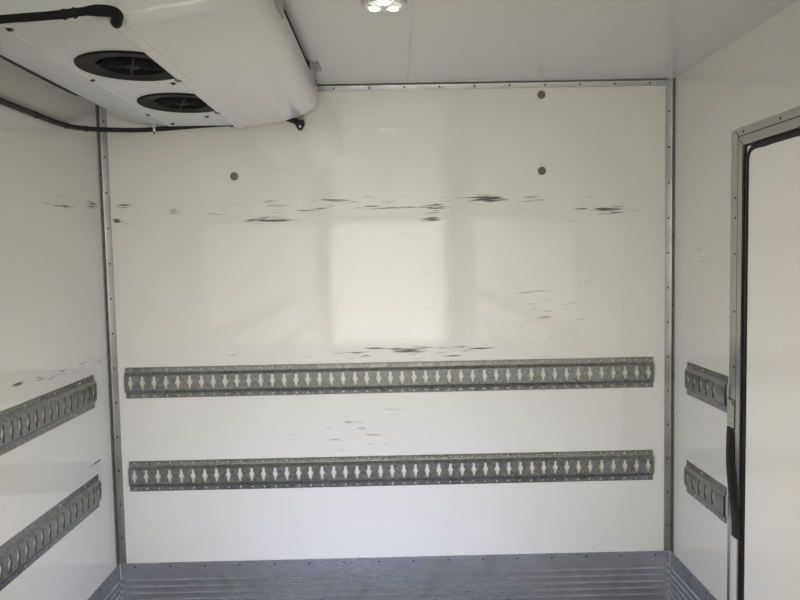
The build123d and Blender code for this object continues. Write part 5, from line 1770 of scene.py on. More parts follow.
    def drain(self) -> None:
        """Drain elbow at the front end of the cowl, with its pale bolt and sealant."""
        at = self.room.at(0.845, 0.034, 0.158)
        shape = Shape()
        route = ((-0.075, -0.050, 0.014), (-0.045, -0.030, 0.010), (-0.012, 0.0, 0.004),
                 (0.004, 0.012, -0.004), (0.008, 0.026, -0.010))
        path = smooth_route([at + Vector(shift) for shift in route], 6)
        shape.tube(path, lambda t: 0.011 + 0.003 * t, 16)
        shape.lathe([(0.0, 0.012), (0.017, 0.010), (0.021, 0.0), (0.019, -0.012), (0.011, -0.026),
                     (0.007, -0.031), (0.0, -0.032)], 24,
                    Matrix.Translation(at + Vector((0.004, 0.004, -0.002))))
        shape.outwards()
        self.piece("drain_elbow", shape.mesh(50.0), Finishes.RUBBER)
        bolt = Shape()
        spot = place(at + Vector((0.006, -0.010, -0.020)), KERB, Vector((0, 0.35, 1)))
        bolt.lathe([(0.0055, -0.004), (0.0055, 0.004), (0.0045, 0.0055), (0.0, 0.0055)], 6, spot)
        bolt.outwards()
        self.piece("drain_bolt", bolt.mesh(), Finishes.CLIP)


# Side doorway and doors


def wavy_ring(low: Flat, high: Flat, half: float, rise: float, wave: float, at: Matrix) -> Shape:
    """A soft lip round a rectangle, its edges waving as pressed rubber does.

    Args:
        low: Lowest corner of its middle line, in the local plane.
        high: Highest corner.
        half: Half its width.
        rise: How far it stands out.
        wave: How far its edges wander.
        at: The local frame.

    Returns:
        The closed lip.
    """
    corners = slab(low, high, 0.05, 5)
    line: list[Vector] = []
    for a, b in zip(corners, corners[1:] + corners[:1]):
        start, end = Vector(a), Vector(b)
        steps = max(1, round((end - start).length / 0.03))
        line += [start.lerp(end, k / steps) for k in range(steps)]
    sections = []
    for i, point in enumerate(line):
        along = (line[(i + 1) % len(line)] - line[i - 1]).normalized()
        out = Vector((along.y, -along.x))
        here = half + wave * (0.6 * math.sin(i * 0.83) + 0.4 * math.sin(i * 2.1 + 1.0))
        high_here = rise * (1 + 0.18 * math.sin(i * 1.3))
        profile = ((-half, 0.0), (-here, high_here * 0.45), (-here * 0.55, high_here),
                   (here * 0.4, high_here * 0.9), (here, high_here * 0.4), (half, 0.0))
        sections.append([at @ Vector((*(point + out * u), w)) for u, w in profile])
    shape = Shape()
    shape.loft([*sections, sections[0]], closed=True)
    shape.outwards()
    return shape


@dataclass
class DoorFittings(Assembly):
    """Bolts, bearings, grip and seal lip of one door leaf."""

    body: str
    leaf: str
    fittings: str
    outwards: Vector
    along: Vector
    straps: int
    strap_inset: float = 0.180
    strap_end: float = 0.240
    strap_thick: float = 0.008
    guide_half: float = 0.016
    guide_depth: float = 0.026
    guide_inset: float = 0.090
    guides: int = 4
    handle: Flat = (0.380, 0.700)
    grip_span: Flat = (0.085, 0.215)
    grip_ribs: int = 9
    lip: Flat = (0.009, 0.005)

    def build(self) -> None:
        """Make what rides on the leaf."""
        self.low, self.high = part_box(self.leaf)
        ways = zip(self.low, self.high, self.outwards - self.along + DOWN)
        self.hinge = Vector([high if way > 0 else low for low, high, way in ways])
        size = self.high - self.low
        self.width, self.depth = (abs(size.dot(way)) for way in (self.along, self.outwards))
        self.height = self.high.z - self.low.z
        self.bolts()
        self.bearings()
        self.grip()
        self.seal_lip()

    def at(self, reach: float, rise: float, out: float) -> Vector:
        """A place on the leaf's outer face, from its hinge edge and its foot."""
        return self.hinge + self.along * reach + UP * rise + self.outwards * out

    def strap_heights(self) -> list[float]:
        """Heights of the hinge straps above the leaf's foot."""
        return shares(self.strap_inset, self.height - self.strap_inset, self.straps)

    def rod_reach(self) -> float:
        """Distance of the lock rod from the hinge edge."""
        low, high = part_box(self.fittings)
        ends = sorted((self.along.dot(low), self.along.dot(high)))
        return ends[1] - self.guide_half - self.along.dot(self.hinge)

    def bolts(self) -> None:
        """Three bolts through each strap."""
        bolts = [(self.at(0.012 + share * self.strap_end, rise, self.strap_thick), self.outwards)
                 for rise in self.strap_heights() for share in (0.24, 0.56, 0.88)]
        self.studs(f"{self.body}_bolts", hex_bolt(0.014, 0.009), bolts, Finishes.STEEL_LONG, body=self.body)

    def bearings(self) -> None:
        """Black bushes, caps and screws of the lock rod's bearings."""
        reach = self.rod_reach()
        cap = Shape()
        cap.prism(slab((-0.021, -0.030), (0.021, 0.030), 0.007, 3), (0.0, 0.003))
        cap.soften(0.001, 2, 60.0)
        bush = Shape()
        bush.lathe([(0.0115, -0.026), (0.0165, -0.026), (0.0165, -0.0205), (0.0115, -0.0205)], 20)
        spots, screws, bushes = [], [], []
        for rise in shares(self.guide_inset, self.height - self.guide_inset, self.guides):
            spots.append((self.at(reach, rise, self.guide_depth - 0.001), self.outwards))
            screws += [(self.at(reach + dx, rise + dz, self.guide_depth + 0.0018), self.outwards)
                       for dx in (-0.013, 0.013) for dz in (-0.022, 0.022)]
            bushes += [(self.at(reach, rise + dz, 0.017), UP) for dz in (0.0, 0.0465)]
        screw = stud(0.0042, 0.0026, 0.001)
        for word, shape, places, finish, turn in (
                ("caps", cap, spots, Finishes.STEEL, 0.0),
                ("cap_screws", screw, screws, Finishes.STEEL_LONG, FULL_TURN),
                ("bushes", bush, bushes, Finishes.BLACK, 0.0)):
            self.studs(f"{self.body}_{word}", shape, places, finish, turn, body=self.body)

    def grip(self) -> None:
        """Rubber grip over the end of the handle, and the pad of its catch."""
        end = self.rod_reach() - self.handle[0]
        at = place(self.at(0.0, self.handle[1], 0.024), self.outwards, UP)
        turn = 1.0 if at.to_3x3().col[2].dot(self.along) > 0 else -1.0
        outline = slab((-0.0085, -0.0205), (0.0085, 0.0205), 0.007, 4)
        shape = Shape()
        shape.prism(outline, tuple(sorted(turn * (end + reach) for reach in self.grip_span)), at)
        rib = [(x * 1.10, y * 1.05) for x, y in outline]
        for k in range(self.grip_ribs):
            middle = turn * (end + 0.098 + 0.013 * k)
            shape.prism(rib, (middle - 0.002, middle + 0.002), at)
        self.piece(f"{self.body}_grip", shape.mesh(), Finishes.RUBBER, self.body)

    def seal_lip(self) -> None:
        """Soft lip round the inside of the leaf."""
        inner = self.hinge - self.outwards * self.depth
        half, rise = self.lip
        near, far = half - 0.003, self.width - 0.010 + 0.006 - half
        at = place(inner, self.along, UP)
        if at.to_3x3().col[2].dot(self.outwards) >= 0:
            at = place(inner + self.along * self.width, -self.along, UP)
            near, far = self.width - far, self.width - near
        shape = wavy_ring((near, half + 0.002), (far, self.height + 0.003 - half), half, rise, 0.0022, at)
        self.piece(f"{self.body}_lip", shape.mesh(60.0), Finishes.RUBBER, self.body)


@dataclass
class SideDoorway(Assembly):
    """What the side doorway's frame carries: flange strips, screws, striker plate and a loose seal."""

    flange: float = 0.030
    screw_drops: tuple[float, ...] = (0.545, 0.615, 0.741, 0.944, 1.140, 1.340, 1.560, 1.780, 1.990, 2.200)
    plate: tuple[float, float, float, float] = (-0.534, -0.483, 1.295, 1.395)

    def build(self) -> None:
        """Make every piece."""
        self.low, self.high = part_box("side_door_frame")
        self.wall = self.room.right
        self.strips()
        self.groove()
        self.screws()
        self.striker()
        self.loose_seal()

    def strips(self) -> None:
        """Thin flanges that widen the frame at both sides, and the paler block below the seal."""
        shape = Shape()
        at = place(KERB * self.wall, AHEAD, UP)
        for start, end in ((self.high.y - 0.001, self.high.y + self.flange),
                           (self.low.y - self.flange, self.low.y + 0.001)):
            outline = slab((start, self.room.floor + 0.002), (end, self.high.z), 0.004, 3)
            shape.prism(outline, (-0.0022, 0.0), at)
        shape.outwards()
        shape.soften(0.0007, 1, 60.0)
        self.piece("doorway_flanges", shape.mesh(), Finishes.FRAME, slot="profile")
        block = Shape()
        at = place(KERB * (self.wall - 0.0045), AHEAD, UP)
        block.prism(slab((-0.566, self.room.floor + 0.002), (-0.522, 0.906), 0.004, 3), (-0.006, 0.0), at)
        block.soften(0.001, 2, 60.0)
        self.piece("doorway_block", block.mesh(), Finishes.TRAY)

    def groove(self) -> None:
        """Dark sealed joint between the two steps, and the mitres at its corners."""
        ring = Shape()
        at = place(KERB * (self.wall - 0.0038), AHEAD, UP)
        section = [(0.0, 0.0), (0.0, -0.0012), (0.0024, -0.0012), (0.0024, 0.0)]
        step = 0.0345
        around(ring, section, (self.low.y + step - 0.012, self.low.z + step),
               (self.high.y - step + 0.012, self.high.z - step + 0.009), at)
        ring.outwards()
        for y, way in ((self.high.y, -1), (self.low.y, 1)):
            for start, end, out in ((0.002, 0.030, 0.0044), (0.034, 0.058, 0.0084)):
                line = Vector((0, way, -1)).normalized()
                origin = Vector((self.wall - out, y, self.high.z)) + line * start * 1.414
                length = (end - start) * 1.414
                outline = [(0.0, -0.0002), (length, -0.0002), (length, 0.0006), (0.0, 0.0006)]
                ring.prism(outline, (-0.0005, 0.0005), place(origin, line, ROAD))
        self.piece("doorway_joint", ring.mesh(), Finishes.RUBBER)

    def screws(self) -> None:
        """Dark screws along both flanges and the head, and outside."""
        x = self.wall - 0.0040
        tall = [self.room.ceiling - drop for drop in self.screw_drops]
        spots = [(Vector((x, y, z)), ROAD) for y in (self.high.y - 0.008, self.low.y + 0.008) for z in tall]
        spots += [(Vector((x, y, self.high.z - 0.014)), ROAD)
                  for y in spaced(self.low.y + 0.06, self.high.y - 0.06, 0.2)]
        spots += [(Vector((self.high.x, y, z)), KERB)
                  for y in (self.high.y - 0.047, self.low.y + 0.047) for z in tall]
        self.studs("doorway_screws", stud(0.0042, 0.0022, 0.0009), spots, Finishes.SCREW)

    def striker(self) -> None:
        """Pale drilled plate on the front flange, outlined by its gasket."""
        y0, y1, z0, z1 = self.plate
        at = place(KERB * self.wall, AHEAD, UP)
        holes = [[(y + u, z + v) for u, v in circle(0.0028, 12)] for y in (y0 + 0.014, y1 - 0.014)
                 for z in spaced(z0 + 0.014, z1 - 0.014, 0.024)]
        gasket, plate = Shape(), Shape()
        gasket.prism(slab((y0 - 0.002, z0 - 0.002), (y1 + 0.002, z1 + 0.002), 0.005, 3), (-0.0052, 0.0), at)
        plate.prism(slab((y0, z0), (y1, z1), 0.005, 3), (-0.0076, -0.0050), at, holes)
        plate.soften(0.0006, 1, 60.0)
        bracket = ((0.004, 0.020), (0.008, 0.020), (0.008, 0.008), (0.020, 0.008), (0.020, 0.004),
                   (0.004, 0.004))
        gasket.prism([(y0 + y, z1 - drop) for y, drop in bracket], (-0.0084, -0.0074), at)
        gasket.outwards()
        self.piece("striker_gasket", gasket.mesh(), Finishes.RUBBER)
        self.piece("striker_plate", plate.mesh(), Finishes.STRIKER, slot="stainless")

    def loose_seal(self) -> None:
        """Seal that has come away and bulges from the front flange, cut square at its foot."""
        route = ((-0.504, 1.293), (-0.512, 1.20), (-0.535, 1.10), (-0.551, 1.00), (-0.561, 0.910))
        line = smooth_route([Vector((self.wall - 0.005, y, z)) for y, z in route], 6)
        count = len(line)
        sections = []
        for i, point in enumerate(line):
            t = i / (count - 1)
            half = 0.021 + 0.014 * t + 0.003 * math.sin(6.0 * t)
            rise = 0.006 + 0.012 * math.sin(math.pi * min(1.0, t * 1.1)) ** 0.7
            lean = 0.004 * math.sin(6.0 * t)
            profile = ((-half, 0.0), (-half * 0.96, rise * 0.5), (-half * 0.6, rise * 0.95),
                       (lean, rise * 1.05), (half * 0.55, rise * 0.9), (half * 0.95, rise * 0.5), (half, 0.0))
            sections.append([point + Vector((-w, u, 0.0)) for u, w in profile])
        shape = Shape()
        shape.loft(sections, closed=True)
        shape.cap(sections[0], sections[-1])
        shape.outwards()
        self.piece("loose_seal", shape.mesh(50.0), Finishes.RUBBER, slot="seal")


# Outer shell, cooling unit and subframe


@dataclass
class OuterShell(Assembly):
    """Rivets of the edges, posts and rear portal, and the marker lamps."""

    pitch: float = 0.200
    side_lamp: Flat = (0.055, 0.021)
    side_height: float = 0.2625
    side_start: float = 0.385
    side_lamps: int = 5
    lamp_pitch: float = 2.25
    rear_lamp: Flat = (0.050, 0.020)
    rear_place: Flat = (1.19, 2.695)

    def build(self) -> None:
        """Make the rivets and the lamps."""
        self.rivets()
        self.markers()

    def rivets(self) -> None:
        """Rows of rivets along every edge profile."""
        base, roof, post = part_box("base_edges"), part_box("roof_edges"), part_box("corner_posts")
        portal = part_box("rear_portal")
        rows = (base[0].z + 0.016, base[1].z - 0.016)
        spots = []
        for side in Side:
            x = side.value * base[1].x
            for y in spaced(base[1].y - 0.08, base[0].y + 0.08, self.pitch):
                spots += [(Vector((x, y, z)), side.out) for z in (*rows, roof[0].z + 0.014)]
            for z in spaced(base[1].z + 0.08, roof[0].z - 0.08, self.pitch):
                spots.append((Vector((side.value * (post[1].x - 0.015), post[1].y, z)), AHEAD))
                spots.append((Vector((x, post[0].y + 0.016, z)), side.out))
        for x in spaced(post[0].x + 0.1, post[1].x - 0.1, self.pitch):
            spots += [(Vector((x, post[1].y, z)), AHEAD) for z in rows]
        for x in spaced(-0.96, 0.96, self.pitch):
            spots += [(Vector((x, portal[0].y, z)), BACK) for z in (portal[1].z - 0.020, portal[0].z + 0.030)]
        self.studs("edge_rivets", stud(0.0055, 0.0024), spots, Finishes.STEEL_LONG)

    def markers(self) -> None:
        """Side and rear marker lamps: a dark base, a domed lens and its rim."""
        low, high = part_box("marker_lamps")
        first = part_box("base_edges")[1].y - self.side_start
        skin, rear = self.room.outer_right, self.room.outer_rear
        sides = [(Vector((side.value * skin, first - k * self.lamp_pitch, self.side_height)), side.out)
                 for side in Side for k in range(self.side_lamps)]
        x, z = self.rear_place
        rears = [(Vector((side.value * x, rear, z)), BACK) for side in Side]
        for word, places, (half, tall), depth, finish in (
                ("side", sides, self.side_lamp, high.x - skin, Finishes.AMBER),
                ("rear", rears, self.rear_lamp, rear - low.y, Finishes.RED)):
            base, lens = Shape(), Shape()
            outline = slab((-half, -tall), (half, tall), tall * 0.6, 5)
            inner = [(x * 0.90, y * 0.80) for x, y in outline]
            base.prism(outline, (0.0, depth * 0.45), holes=[inner])
            base.prism(inner, (0.0, depth * 0.2))
            levels = ((1.0, 0.22), (1.0, 0.62), (0.94, 0.84), (0.80, 0.97))
            rings = [[Vector((x * s, y * s, depth * w)) for x, y in inner] for s, w in levels]
            lens.loft(rings, closed=True)
            lens.cap(rings[-1], rings[0])
            lens.outwards()
            for part, shape, look in (("bases", base, Finishes.BLACK), ("lenses", lens, finish)):
                nodes = ("marker_lamps",) if word == "side" and part == "lenses" else ()
                self.piece(f"{word}_marker_{part}", self.upright(shape.mesh(), places), look, slot="lens",
                           stands_for=nodes)

    def upright(self, mesh: Mesh, places: Spots) -> Mesh:
        """Copies of an upright piece, level with the ground, each facing its own way."""
        made = []
        for at, out in places:
            copy = mesh.copy()
            copy.transform(place(at, UP.cross(out), UP))
            made.append(copy)
        return joined(made)


def finned(low: Vector, high: Vector, along: int, pitch: float) -> list[Mesh]:
    """A coil in a box: thin fins in a row, the tubes through them and their return bends.

    Args:
        low: Lowest corner of the box.
        high: Highest corner.
        along: Axis that the tubes run along.
        pitch: Distance between fins.

    Returns:
        The fins, then the tubes.
    """
    step = Vector([pitch if i == along else 0.0 for i in range(3)])
    across, end, tube = 1 - along, 0.016, 0.005
    fin = Shape()
    far = [h - l for l, h in zip(low, high)]
    far[along] = 0.0006
    fin.block((0.0, 0.0, 0.0), far)
    count = int((high[along] - low[along] - 2 * end) / pitch)
    fins = in_row(fin, Finishes.FINS, Vector(low) + step * (end / pitch), step, count)
    tubes = Shape()
    middle = (low[across] + high[across]) / 2
    rows = spaced(low.z + 0.020, high.z - 0.020, 0.045)
    for row, z in enumerate(rows):
        ends = [Vector((middle, middle, z)), Vector((middle, middle, z))]
        ends[0][along], ends[1][along] = low[along] + 0.003, high[along] - 0.003
        runs = [ends]
        if row:
            side = ends[row % 2]
            runs.append((side, side + UP * (rows[row - 1] - z)))
        for start, stop in runs:
            tubes.tube([start, start.lerp(stop, 0.5), stop], lambda t: tube, 10)
    tubes.outwards()
    return [fins, tubes.mesh()]


@dataclass
class CoolingUnit(Assembly):
    """The unit on the front wall: louvres, fans, coil, shroud, drive and latches."""

    louvre_pitch: float = 0.044
    louvre_rows: int = 8
    louvre_span: Flat = (0.058, 0.792)
    fan_radius: float = 0.180
    fan_hub: float = 0.045
    fan_blades: int = 6
    shroud_hole: float = 0.188

    def build(self) -> None:
        """Make every piece of the unit."""
        self.low, self.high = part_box("nose_housing")
        self.louvres()
        self.fans()
        self.coil()
        self.drive()
        self.latches()

    def louvres(self) -> None:
        """Slanted blades behind the openings of the cover."""
        face = self.high.y
        first = (self.low.z + self.high.z) / 2 - 0.150
        blade = Shape()
        start, end = self.louvre_span
        section = rounded([(face - 0.006, -0.004), (face - 0.004, -0.003), (face - 0.026, 0.024),
                           (face - 0.028, 0.023)], 0.0006, 2)
        for span in ((start, end), (-end, -start)):
            blade.prism(section, span, place(ORIGIN, AHEAD, UP))
        blade.outwards()
        mesh = in_row(blade, Finishes.HOUSING, UP * first, UP * self.louvre_pitch, self.louvre_rows)
        self.piece("louvre_blades", mesh, Finishes.HOUSING, slot="white_plastic")

    def fans(self) -> None:
        """One rotor on each fan's body, and the shroud that they turn in."""
        plate, holes = Shape(), []
        coil_low, coil_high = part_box("condenser_coil")
        rim, foot = self.shroud_hole, coil_low.y - 0.006
        for word in ("left", "right"):
            low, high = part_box(f"condenser_rotor_{word}")
            middle = (low + high) / 2
            mesh = rotor_shape(self.fan_radius, self.fan_hub, high.y - low.y, self.fan_blades).mesh()
            mesh.transform(place(Vector((middle.x, low.y, middle.z)), UP, KERB))
            self.piece(f"nose_rotor_{word}", mesh, Finishes.BLACK, f"condenser_fan_{word}", "black_plastic",
                       (f"condenser_rotor_{word}",))
            holes.append([(middle.x + x, middle.z + z) for x, z in circle(rim, 48)])
            lip = high.y - 0.030
            plate.lathe([(rim - 0.002, lip), (rim, lip - 0.002), (rim + 0.002, lip), (rim + 0.002, foot),
                         (rim - 0.002, foot), (rim - 0.002, lip)], 48,
                        place(Vector((middle.x, 0, middle.z)), UP, KERB))
        outline = slab((coil_low.x, coil_low.z), (coil_high.x, coil_high.z), 0.01, 3)
        plate.prism(outline, (-foot - 0.002, -foot + 0.002), place(ORIGIN, KERB, UP), holes)
        plate.outwards()
        self.piece("fan_shroud", plate.mesh(), Finishes.BLACK, slot="dark_metal")

    def coil(self) -> None:
        """Finned coils of this unit and of the evaporator."""
        for node, along, pitch in (("condenser_coil", 0, 0.006), ("evaporator_coil", 1, 0.005)):
            low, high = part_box(node)
            fins, tubes = finned(low, high, along, pitch)
            self.piece(f"{node}_fins", fins, Finishes.FINS, slot="fins", stands_for=(node,))
            self.piece(f"{node}_tubes", tubes, Finishes.COPPER, slot="fins")

    def drive(self) -> None:
        """Engine, compressor and their grooved pulleys, in the place of the plain block."""
        low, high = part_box("drive_block")
        middle = (low + high) / 2
        block = Shape()
        block.block((low.x, low.y + 0.020, low.z), (middle.x - 0.02, high.y, high.z - 0.060))
        block.block((low.x + 0.02, low.y + 0.035, high.z - 0.062),
                    (middle.x - 0.04, high.y - 0.02, high.z - 0.006))
        block.soften(0.012, 3, 60.0)
        for k in range(9):
            x = low.x + 0.035 + 0.023 * k
            block.prism(slab((x, low.z + 0.02), (x + 0.006, high.z - 0.075), 0.002, 2),
                        (-high.y + 0.001, -low.y - 0.010), place(ORIGIN, KERB, UP))
        foot, top = low.z + 0.080, high.z - 0.060
        block.lathe([(0.0, 0.0), (0.066, 0.0), (0.072, 0.008), (0.072, 0.130), (0.060, 0.142), (0.060, 0.180),
                     (0.0, 0.186)], 32, place(Vector((middle.x + 0.050, middle.y, foot)), AHEAD, UP))
        block.lathe([(0.0, 0.0), (0.045, 0.0), (0.048, 0.006), (0.048, 0.100), (0.036, 0.110), (0.0, 0.112)],
                    28, place(Vector((middle.x + 0.080, middle.y, top)), AHEAD, UP))
        block.outwards()
        self.piece("drive_unit", block.mesh(40.0), Finishes.MOTOR, slot="dark_metal",
                   stands_for=("drive_block",))
        pulleys = Shape()
        for x, z, r in ((-0.010, middle.z, 0.055), (0.022, foot, 0.062), (0.052, top, 0.034)):
            pulleys.lathe([(0.0, 0.0), (r, 0.0), (r + 0.004, 0.002), (r - 0.004, 0.009), (r + 0.004, 0.016),
                           (r, 0.018), (0.0, 0.018)], 36,
                          place(Vector((middle.x + x, middle.y, z)), AHEAD, UP))
        pulleys.outwards()
        self.piece("drive_pulleys", pulleys.mesh(), Finishes.STEEL, slot="dark_metal")

    def latches(self) -> None:
        """Over-centre latches on both cheeks, the seam of the service panel and its screws."""
        shape, seam = Shape(), Shape()
        for side in Side:
            for z in (self.low.z + 0.13, self.high.z - 0.13):
                at = place(Vector((side.value * self.high.x, self.low.y + 0.045, z)), AHEAD * side.value, UP)
                shape.prism(slab((-0.016, -0.030), (0.016, 0.030), 0.006, 3), (0.0, 0.004), at)
                shape.prism(slab((-0.010, -0.022), (0.010, 0.034), 0.005, 3), (0.004, 0.010), at)
        shape.soften(0.0012, 2, 60.0)
        at = place(AHEAD * (self.high.y - 0.0008), ROAD, UP)
        around(seam, [(0.0, 0.0), (0.0, 0.0006), (0.003, 0.0006), (0.003, 0.0)],
               (-0.82, self.low.z + 0.105), (0.82, self.high.z - 0.098), at)
        seam.outwards()
        self.piece("cover_latches", shape.mesh(), Finishes.STEEL_LONG, slot="stainless")
        self.piece("cover_seam", seam.mesh(), Finishes.RUBBER)
        spots = [(Vector((side.value * self.high.x, y, z)), side.out) for side in Side
                 for y in (self.low.y + 0.02, self.high.y - 0.12)
                 for z in (self.low.z + 0.04, self.high.z - 0.04)]
        self.studs("cover_screws", stud(0.006, 0.003, 0.001), spots, Finishes.SCREW)


@dataclass
class Subframe(Assembly):
    """Cleats and bolts that hold the cross beams on the subframe's rails."""

    cleat: float = 0.050
    beams: int = 20
    beam_half: float = 0.030
    console_half: float = 0.090
    consoles: int = 3
    clear: float = 0.130

    def build(self) -> None:
        """A cleat where each beam crosses a rail, but for the consoles' places."""
        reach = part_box("subframe")[1].x
        low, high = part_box("cross_beams")
        rear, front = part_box("fixing_consoles")
        kept = shares(front.y - self.console_half, rear.y + self.console_half, self.consoles)
        shape = Shape()
        section = rounded([(0.005, -0.055), (0.005, -0.005), (0.055, -0.005)], 0.006, 3, closed=False)
        outline = [(0.0, -0.055), *section, (0.055, 0.0), (0.0, 0.0)]
        bolts = []
        for y in shares(high.y - self.beam_half, low.y + self.beam_half, self.beams):
            if min(abs(y - c) for c in kept) < self.clear:
                continue
            for side in Side:
                at = place(Vector((side.value * reach, y, low.z)), side.out, UP)
                shape.prism(outline, (-self.cleat / 2, self.cleat / 2), at)
                x, z = side.value * (reach + 0.005), low.z - 0.032
                bolts += [(Vector((x, y + shift, z)), side.out) for shift in (-0.013, 0.013)]
                bolts.append((Vector((side.value * (reach + 0.032), y, low.z - 0.005)), DOWN))
        shape.outwards()
        self.piece("beam_cleats", shape.mesh(), Finishes.CHASSIS, slot="galvanised")
        self.studs("cleat_bolts", hex_bolt(0.0085, 0.008), bolts, Finishes.SCREW)


# Studio


@dataclass
class Studio:
    """Camera, lamps, floor and backdrop."""

    room: Room
    eye: Triple = (0.009, -2.962, 1.929)
    focal: float = 31.4
    yaw: float = 0.57
    pitch: float = -3.59
    roll: float = -1.12
    glow: Flat = (0.62, 1.0)
    floor_reach: float = 120.0
    floor_drop: float = 0.0005
    paper: Colour = (0.80, 0.80, 0.80)

    def build(self) -> None:
        """Set up everything round the body."""
        self.camera()
        self.backdrop()
        self.floor()
        self.lamps()

    def camera(self) -> None:
        """The camera where the photograph was taken, inside the load space."""
        yaw, pitch, roll = (math.radians(a) for a in (self.yaw, self.pitch, self.roll))
        ahead = Vector((math.sin(yaw) * math.cos(pitch), math.cos(yaw) * math.cos(pitch), math.sin(pitch)))
        level = Vector((math.cos(yaw), -math.sin(yaw), 0.0))
        over = level.cross(ahead)
        right = level * math.cos(roll) + over * math.sin(roll)
        up = over * math.cos(roll) - level * math.sin(roll)
        lens = bpy.data.cameras.new("camera")
        lens.lens = self.focal
        lens.sensor_width = 36.0
        lens.sensor_fit = "HORIZONTAL"
        lens.clip_start = 0.05
        lens.clip_end = 400.0
        made = shown("camera", lens)
        made.matrix_world = Matrix.Translation(self.eye) @ Matrix((right, up, -ahead)).transposed().to_4x4()
        bpy.context.scene.camera = made

    def backdrop(self) -> None:
        """A white surround that lights the body more softly than it shows."""
        world = bpy.data.worlds.new("surround")
        world.use_nodes = True
        world.node_tree.nodes.clear()
        book = Book(world.node_tree)
        path = book.node("ShaderNodeLightPath").outputs
        seen = book.math("MAXIMUM", path["Is Camera Ray"], path["Is Glossy Ray"])
        seen = book.math("MAXIMUM", seen, path["Is Transmission Ray"])
        strength = book.span(seen, 0.0, 1.0, *self.glow, smooth=False)
        glow = book.node("ShaderNodeBackground", {"Color": (1.0, 1.0, 1.0, 1.0), "Strength": strength})
        book.node("ShaderNodeOutputWorld", {"Surface": glow.outputs[0]})
        bpy.context.scene.world = world

    def floor(self) -> None:
        """A wide pale floor just under the subframe."""
        shape = Shape()
        reach, z = self.floor_reach, -self.floor_drop
        shape.add([(-reach, -reach, z), (reach, -reach, z), (reach, reach, z), (-reach, reach, z)],
                  [(0, 1, 2, 3)])
        mesh = shape.mesh()
        paper = Moulded("pale studio floor", self.paper, 0.8, texture=40.0, relief=0.02, dust=0.03)
        mesh.materials.append(paper.material())
        shown("studio_floor", mesh)

    def lamp(self, name: str, at: Triple, towards: Triple, size: Flat, power: float, glossy: bool,
             colour: Colour = (1.0, 1.0, 1.0)) -> None:
        """One soft area lamp that the camera doesn't see.

        Args:
            name: Name of the lamp.
            at: Where it stands.
            towards: The direction that it shines in.
            size: Its width and height.
            power: Its power in watts.
            glossy: Whether it shows in glossy surfaces.
            colour: Its colour.
        """
        data = bpy.data.lights.new(name, "AREA")
        data.shape = "RECTANGLE"
        data.size, data.size_y = size
        data.energy = power
        data.color = colour
        made = shown(name, data)
        made.location = at
        made.rotation_euler = Vector(towards).to_track_quat("-Z", "Y").to_euler()
        made.visible_camera = False
        made.visible_glossy = glossy

    def lamps(self) -> None:
        """Daylight from the doorway, soft fill inside, and a sun outside."""
        room = self.room
        middle = (room.floor + room.ceiling) / 2
        day, warm, cold = (1.0, 0.99, 0.88), (1.0, 0.91, 0.66), (0.39, 0.50, 1.0)
        doorway = (-0.06, room.rear + 0.12, middle - 0.02)
        self.lamp("doorway", doorway, (0, 1, 0), (2.05, 2.2), 70.0, True, day)
        self.lamp("middle fill", (-0.15, -1.75, 1.15), (0.13, 1, 0), (0.8, 0.6), 17.5, False, warm)
        self.lamp("floor glow", (-0.1, -1.1, 0.5), (0, 1, 0.35), (1.1, 0.2), 11.0, False, cold)
        self.lamp("unit fill", (-0.42, -2.50, 2.56), (0, 1, 0), (0.3, 0.1), 2.8, False)
        self.lamp("rear fill", (0.0, -5.2, middle), (0, -1, 0), (2.1, 2.0), 30.0, False)
        sun = bpy.data.lights.new("sun", "SUN")
        sun.energy = 1.5
        sun.angle = math.radians(12)
        made = shown("sun", sun)
        made.rotation_euler = Vector((-0.5, -0.62, -1.0)).to_track_quat("-Z", "Y").to_euler()


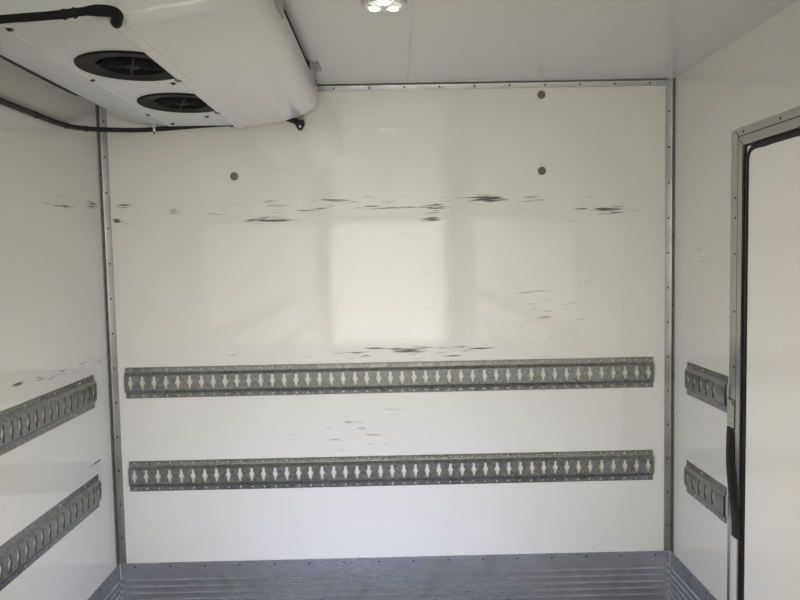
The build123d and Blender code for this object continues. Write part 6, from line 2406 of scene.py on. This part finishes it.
PLAIN = (
    (Finishes.CHASSIS, "subframe cross_beams fixing_consoles"),
    (Finishes.TRIM_LONG, "roof_edges base_edges"),
    (Finishes.TRIM, "corner_posts evaporator_hangers"),
    (Finishes.STEEL, "rear_portal rear_hardware_left rear_hardware_right side_hardware"),
    (Finishes.STEEL_LONG, "portal_fittings side_door_lugs"),
    (Finishes.RUBBER, "rear_seal_left rear_seal_right side_seal"),
    (Finishes.FRAME, "side_door_frame"),
    (Finishes.COWL, "evaporator_case"),
    (Finishes.TRAY, "evaporator_plate"),
    (Finishes.BLACK, "fan_guards evaporator_rotor_front evaporator_rotor_rear"),
    (Finishes.BLACK, "condenser_rotor_left condenser_rotor_right"),
    (Finishes.FINS, "evaporator_coil condenser_coil"),
    (Finishes.FOAM, "refrigerant_pipe"),
    (Finishes.CABLE, "fan_cable"),
    (Finishes.HOUSING, "nose_housing"),
    (Finishes.MOTOR, "nose_frame drive_block"),
    (Finishes.AMBER, "marker_lamps"),
)


def main() -> None:
    """Dress the frame, build every assembly and light the scene."""
    logging.basicConfig(level=logging.INFO, format="%(name)s: %(message)s")
    bpy.context.scene.view_settings.view_transform = "Standard"
    room = Room.from_frame()
    base = Assembly(room)
    for finish, nodes in PLAIN:
        for node in nodes.split():
            base.dress(node, finish)
    # The side leaf's inner face is the same laminate as the other skins but gets the lighter white: painted
    # light, for the stronger daylight that falls on that leaf.
    outer, lighter = (0.76, 0.75, 0.71), (0.84, 0.825, 0.77)
    for node, run, white in (("rear_leaf_left", Run.ACROSS, outer), ("rear_leaf_right", Run.ACROSS, outer),
                             ("side_leaf", Run.BACKWARDS, lighter)):
        base.dress(node, Laminate(f"{node} skin", white, 0.16, run=run, dirt=0.5))
    doors = (
        DoorFittings(room, "rear_door_left", "rear_leaf_left", "rear_hardware_left", BACK, KERB, 4),
        DoorFittings(room, "rear_door_right", "rear_leaf_right", "rear_hardware_right", BACK, ROAD, 4),
        DoorFittings(room, "side_door", "side_leaf", "side_hardware", KERB, AHEAD, 3),
    )
    for assembly in (LoadSpace(room), LashingRails(room), InnerTrims(room), Evaporator(room), *doors,
                     SideDoorway(room), OuterShell(room), CoolingUnit(room), Subframe(room), Studio(room)):
        assembly.build()


if __name__ == "__main__":
    main()
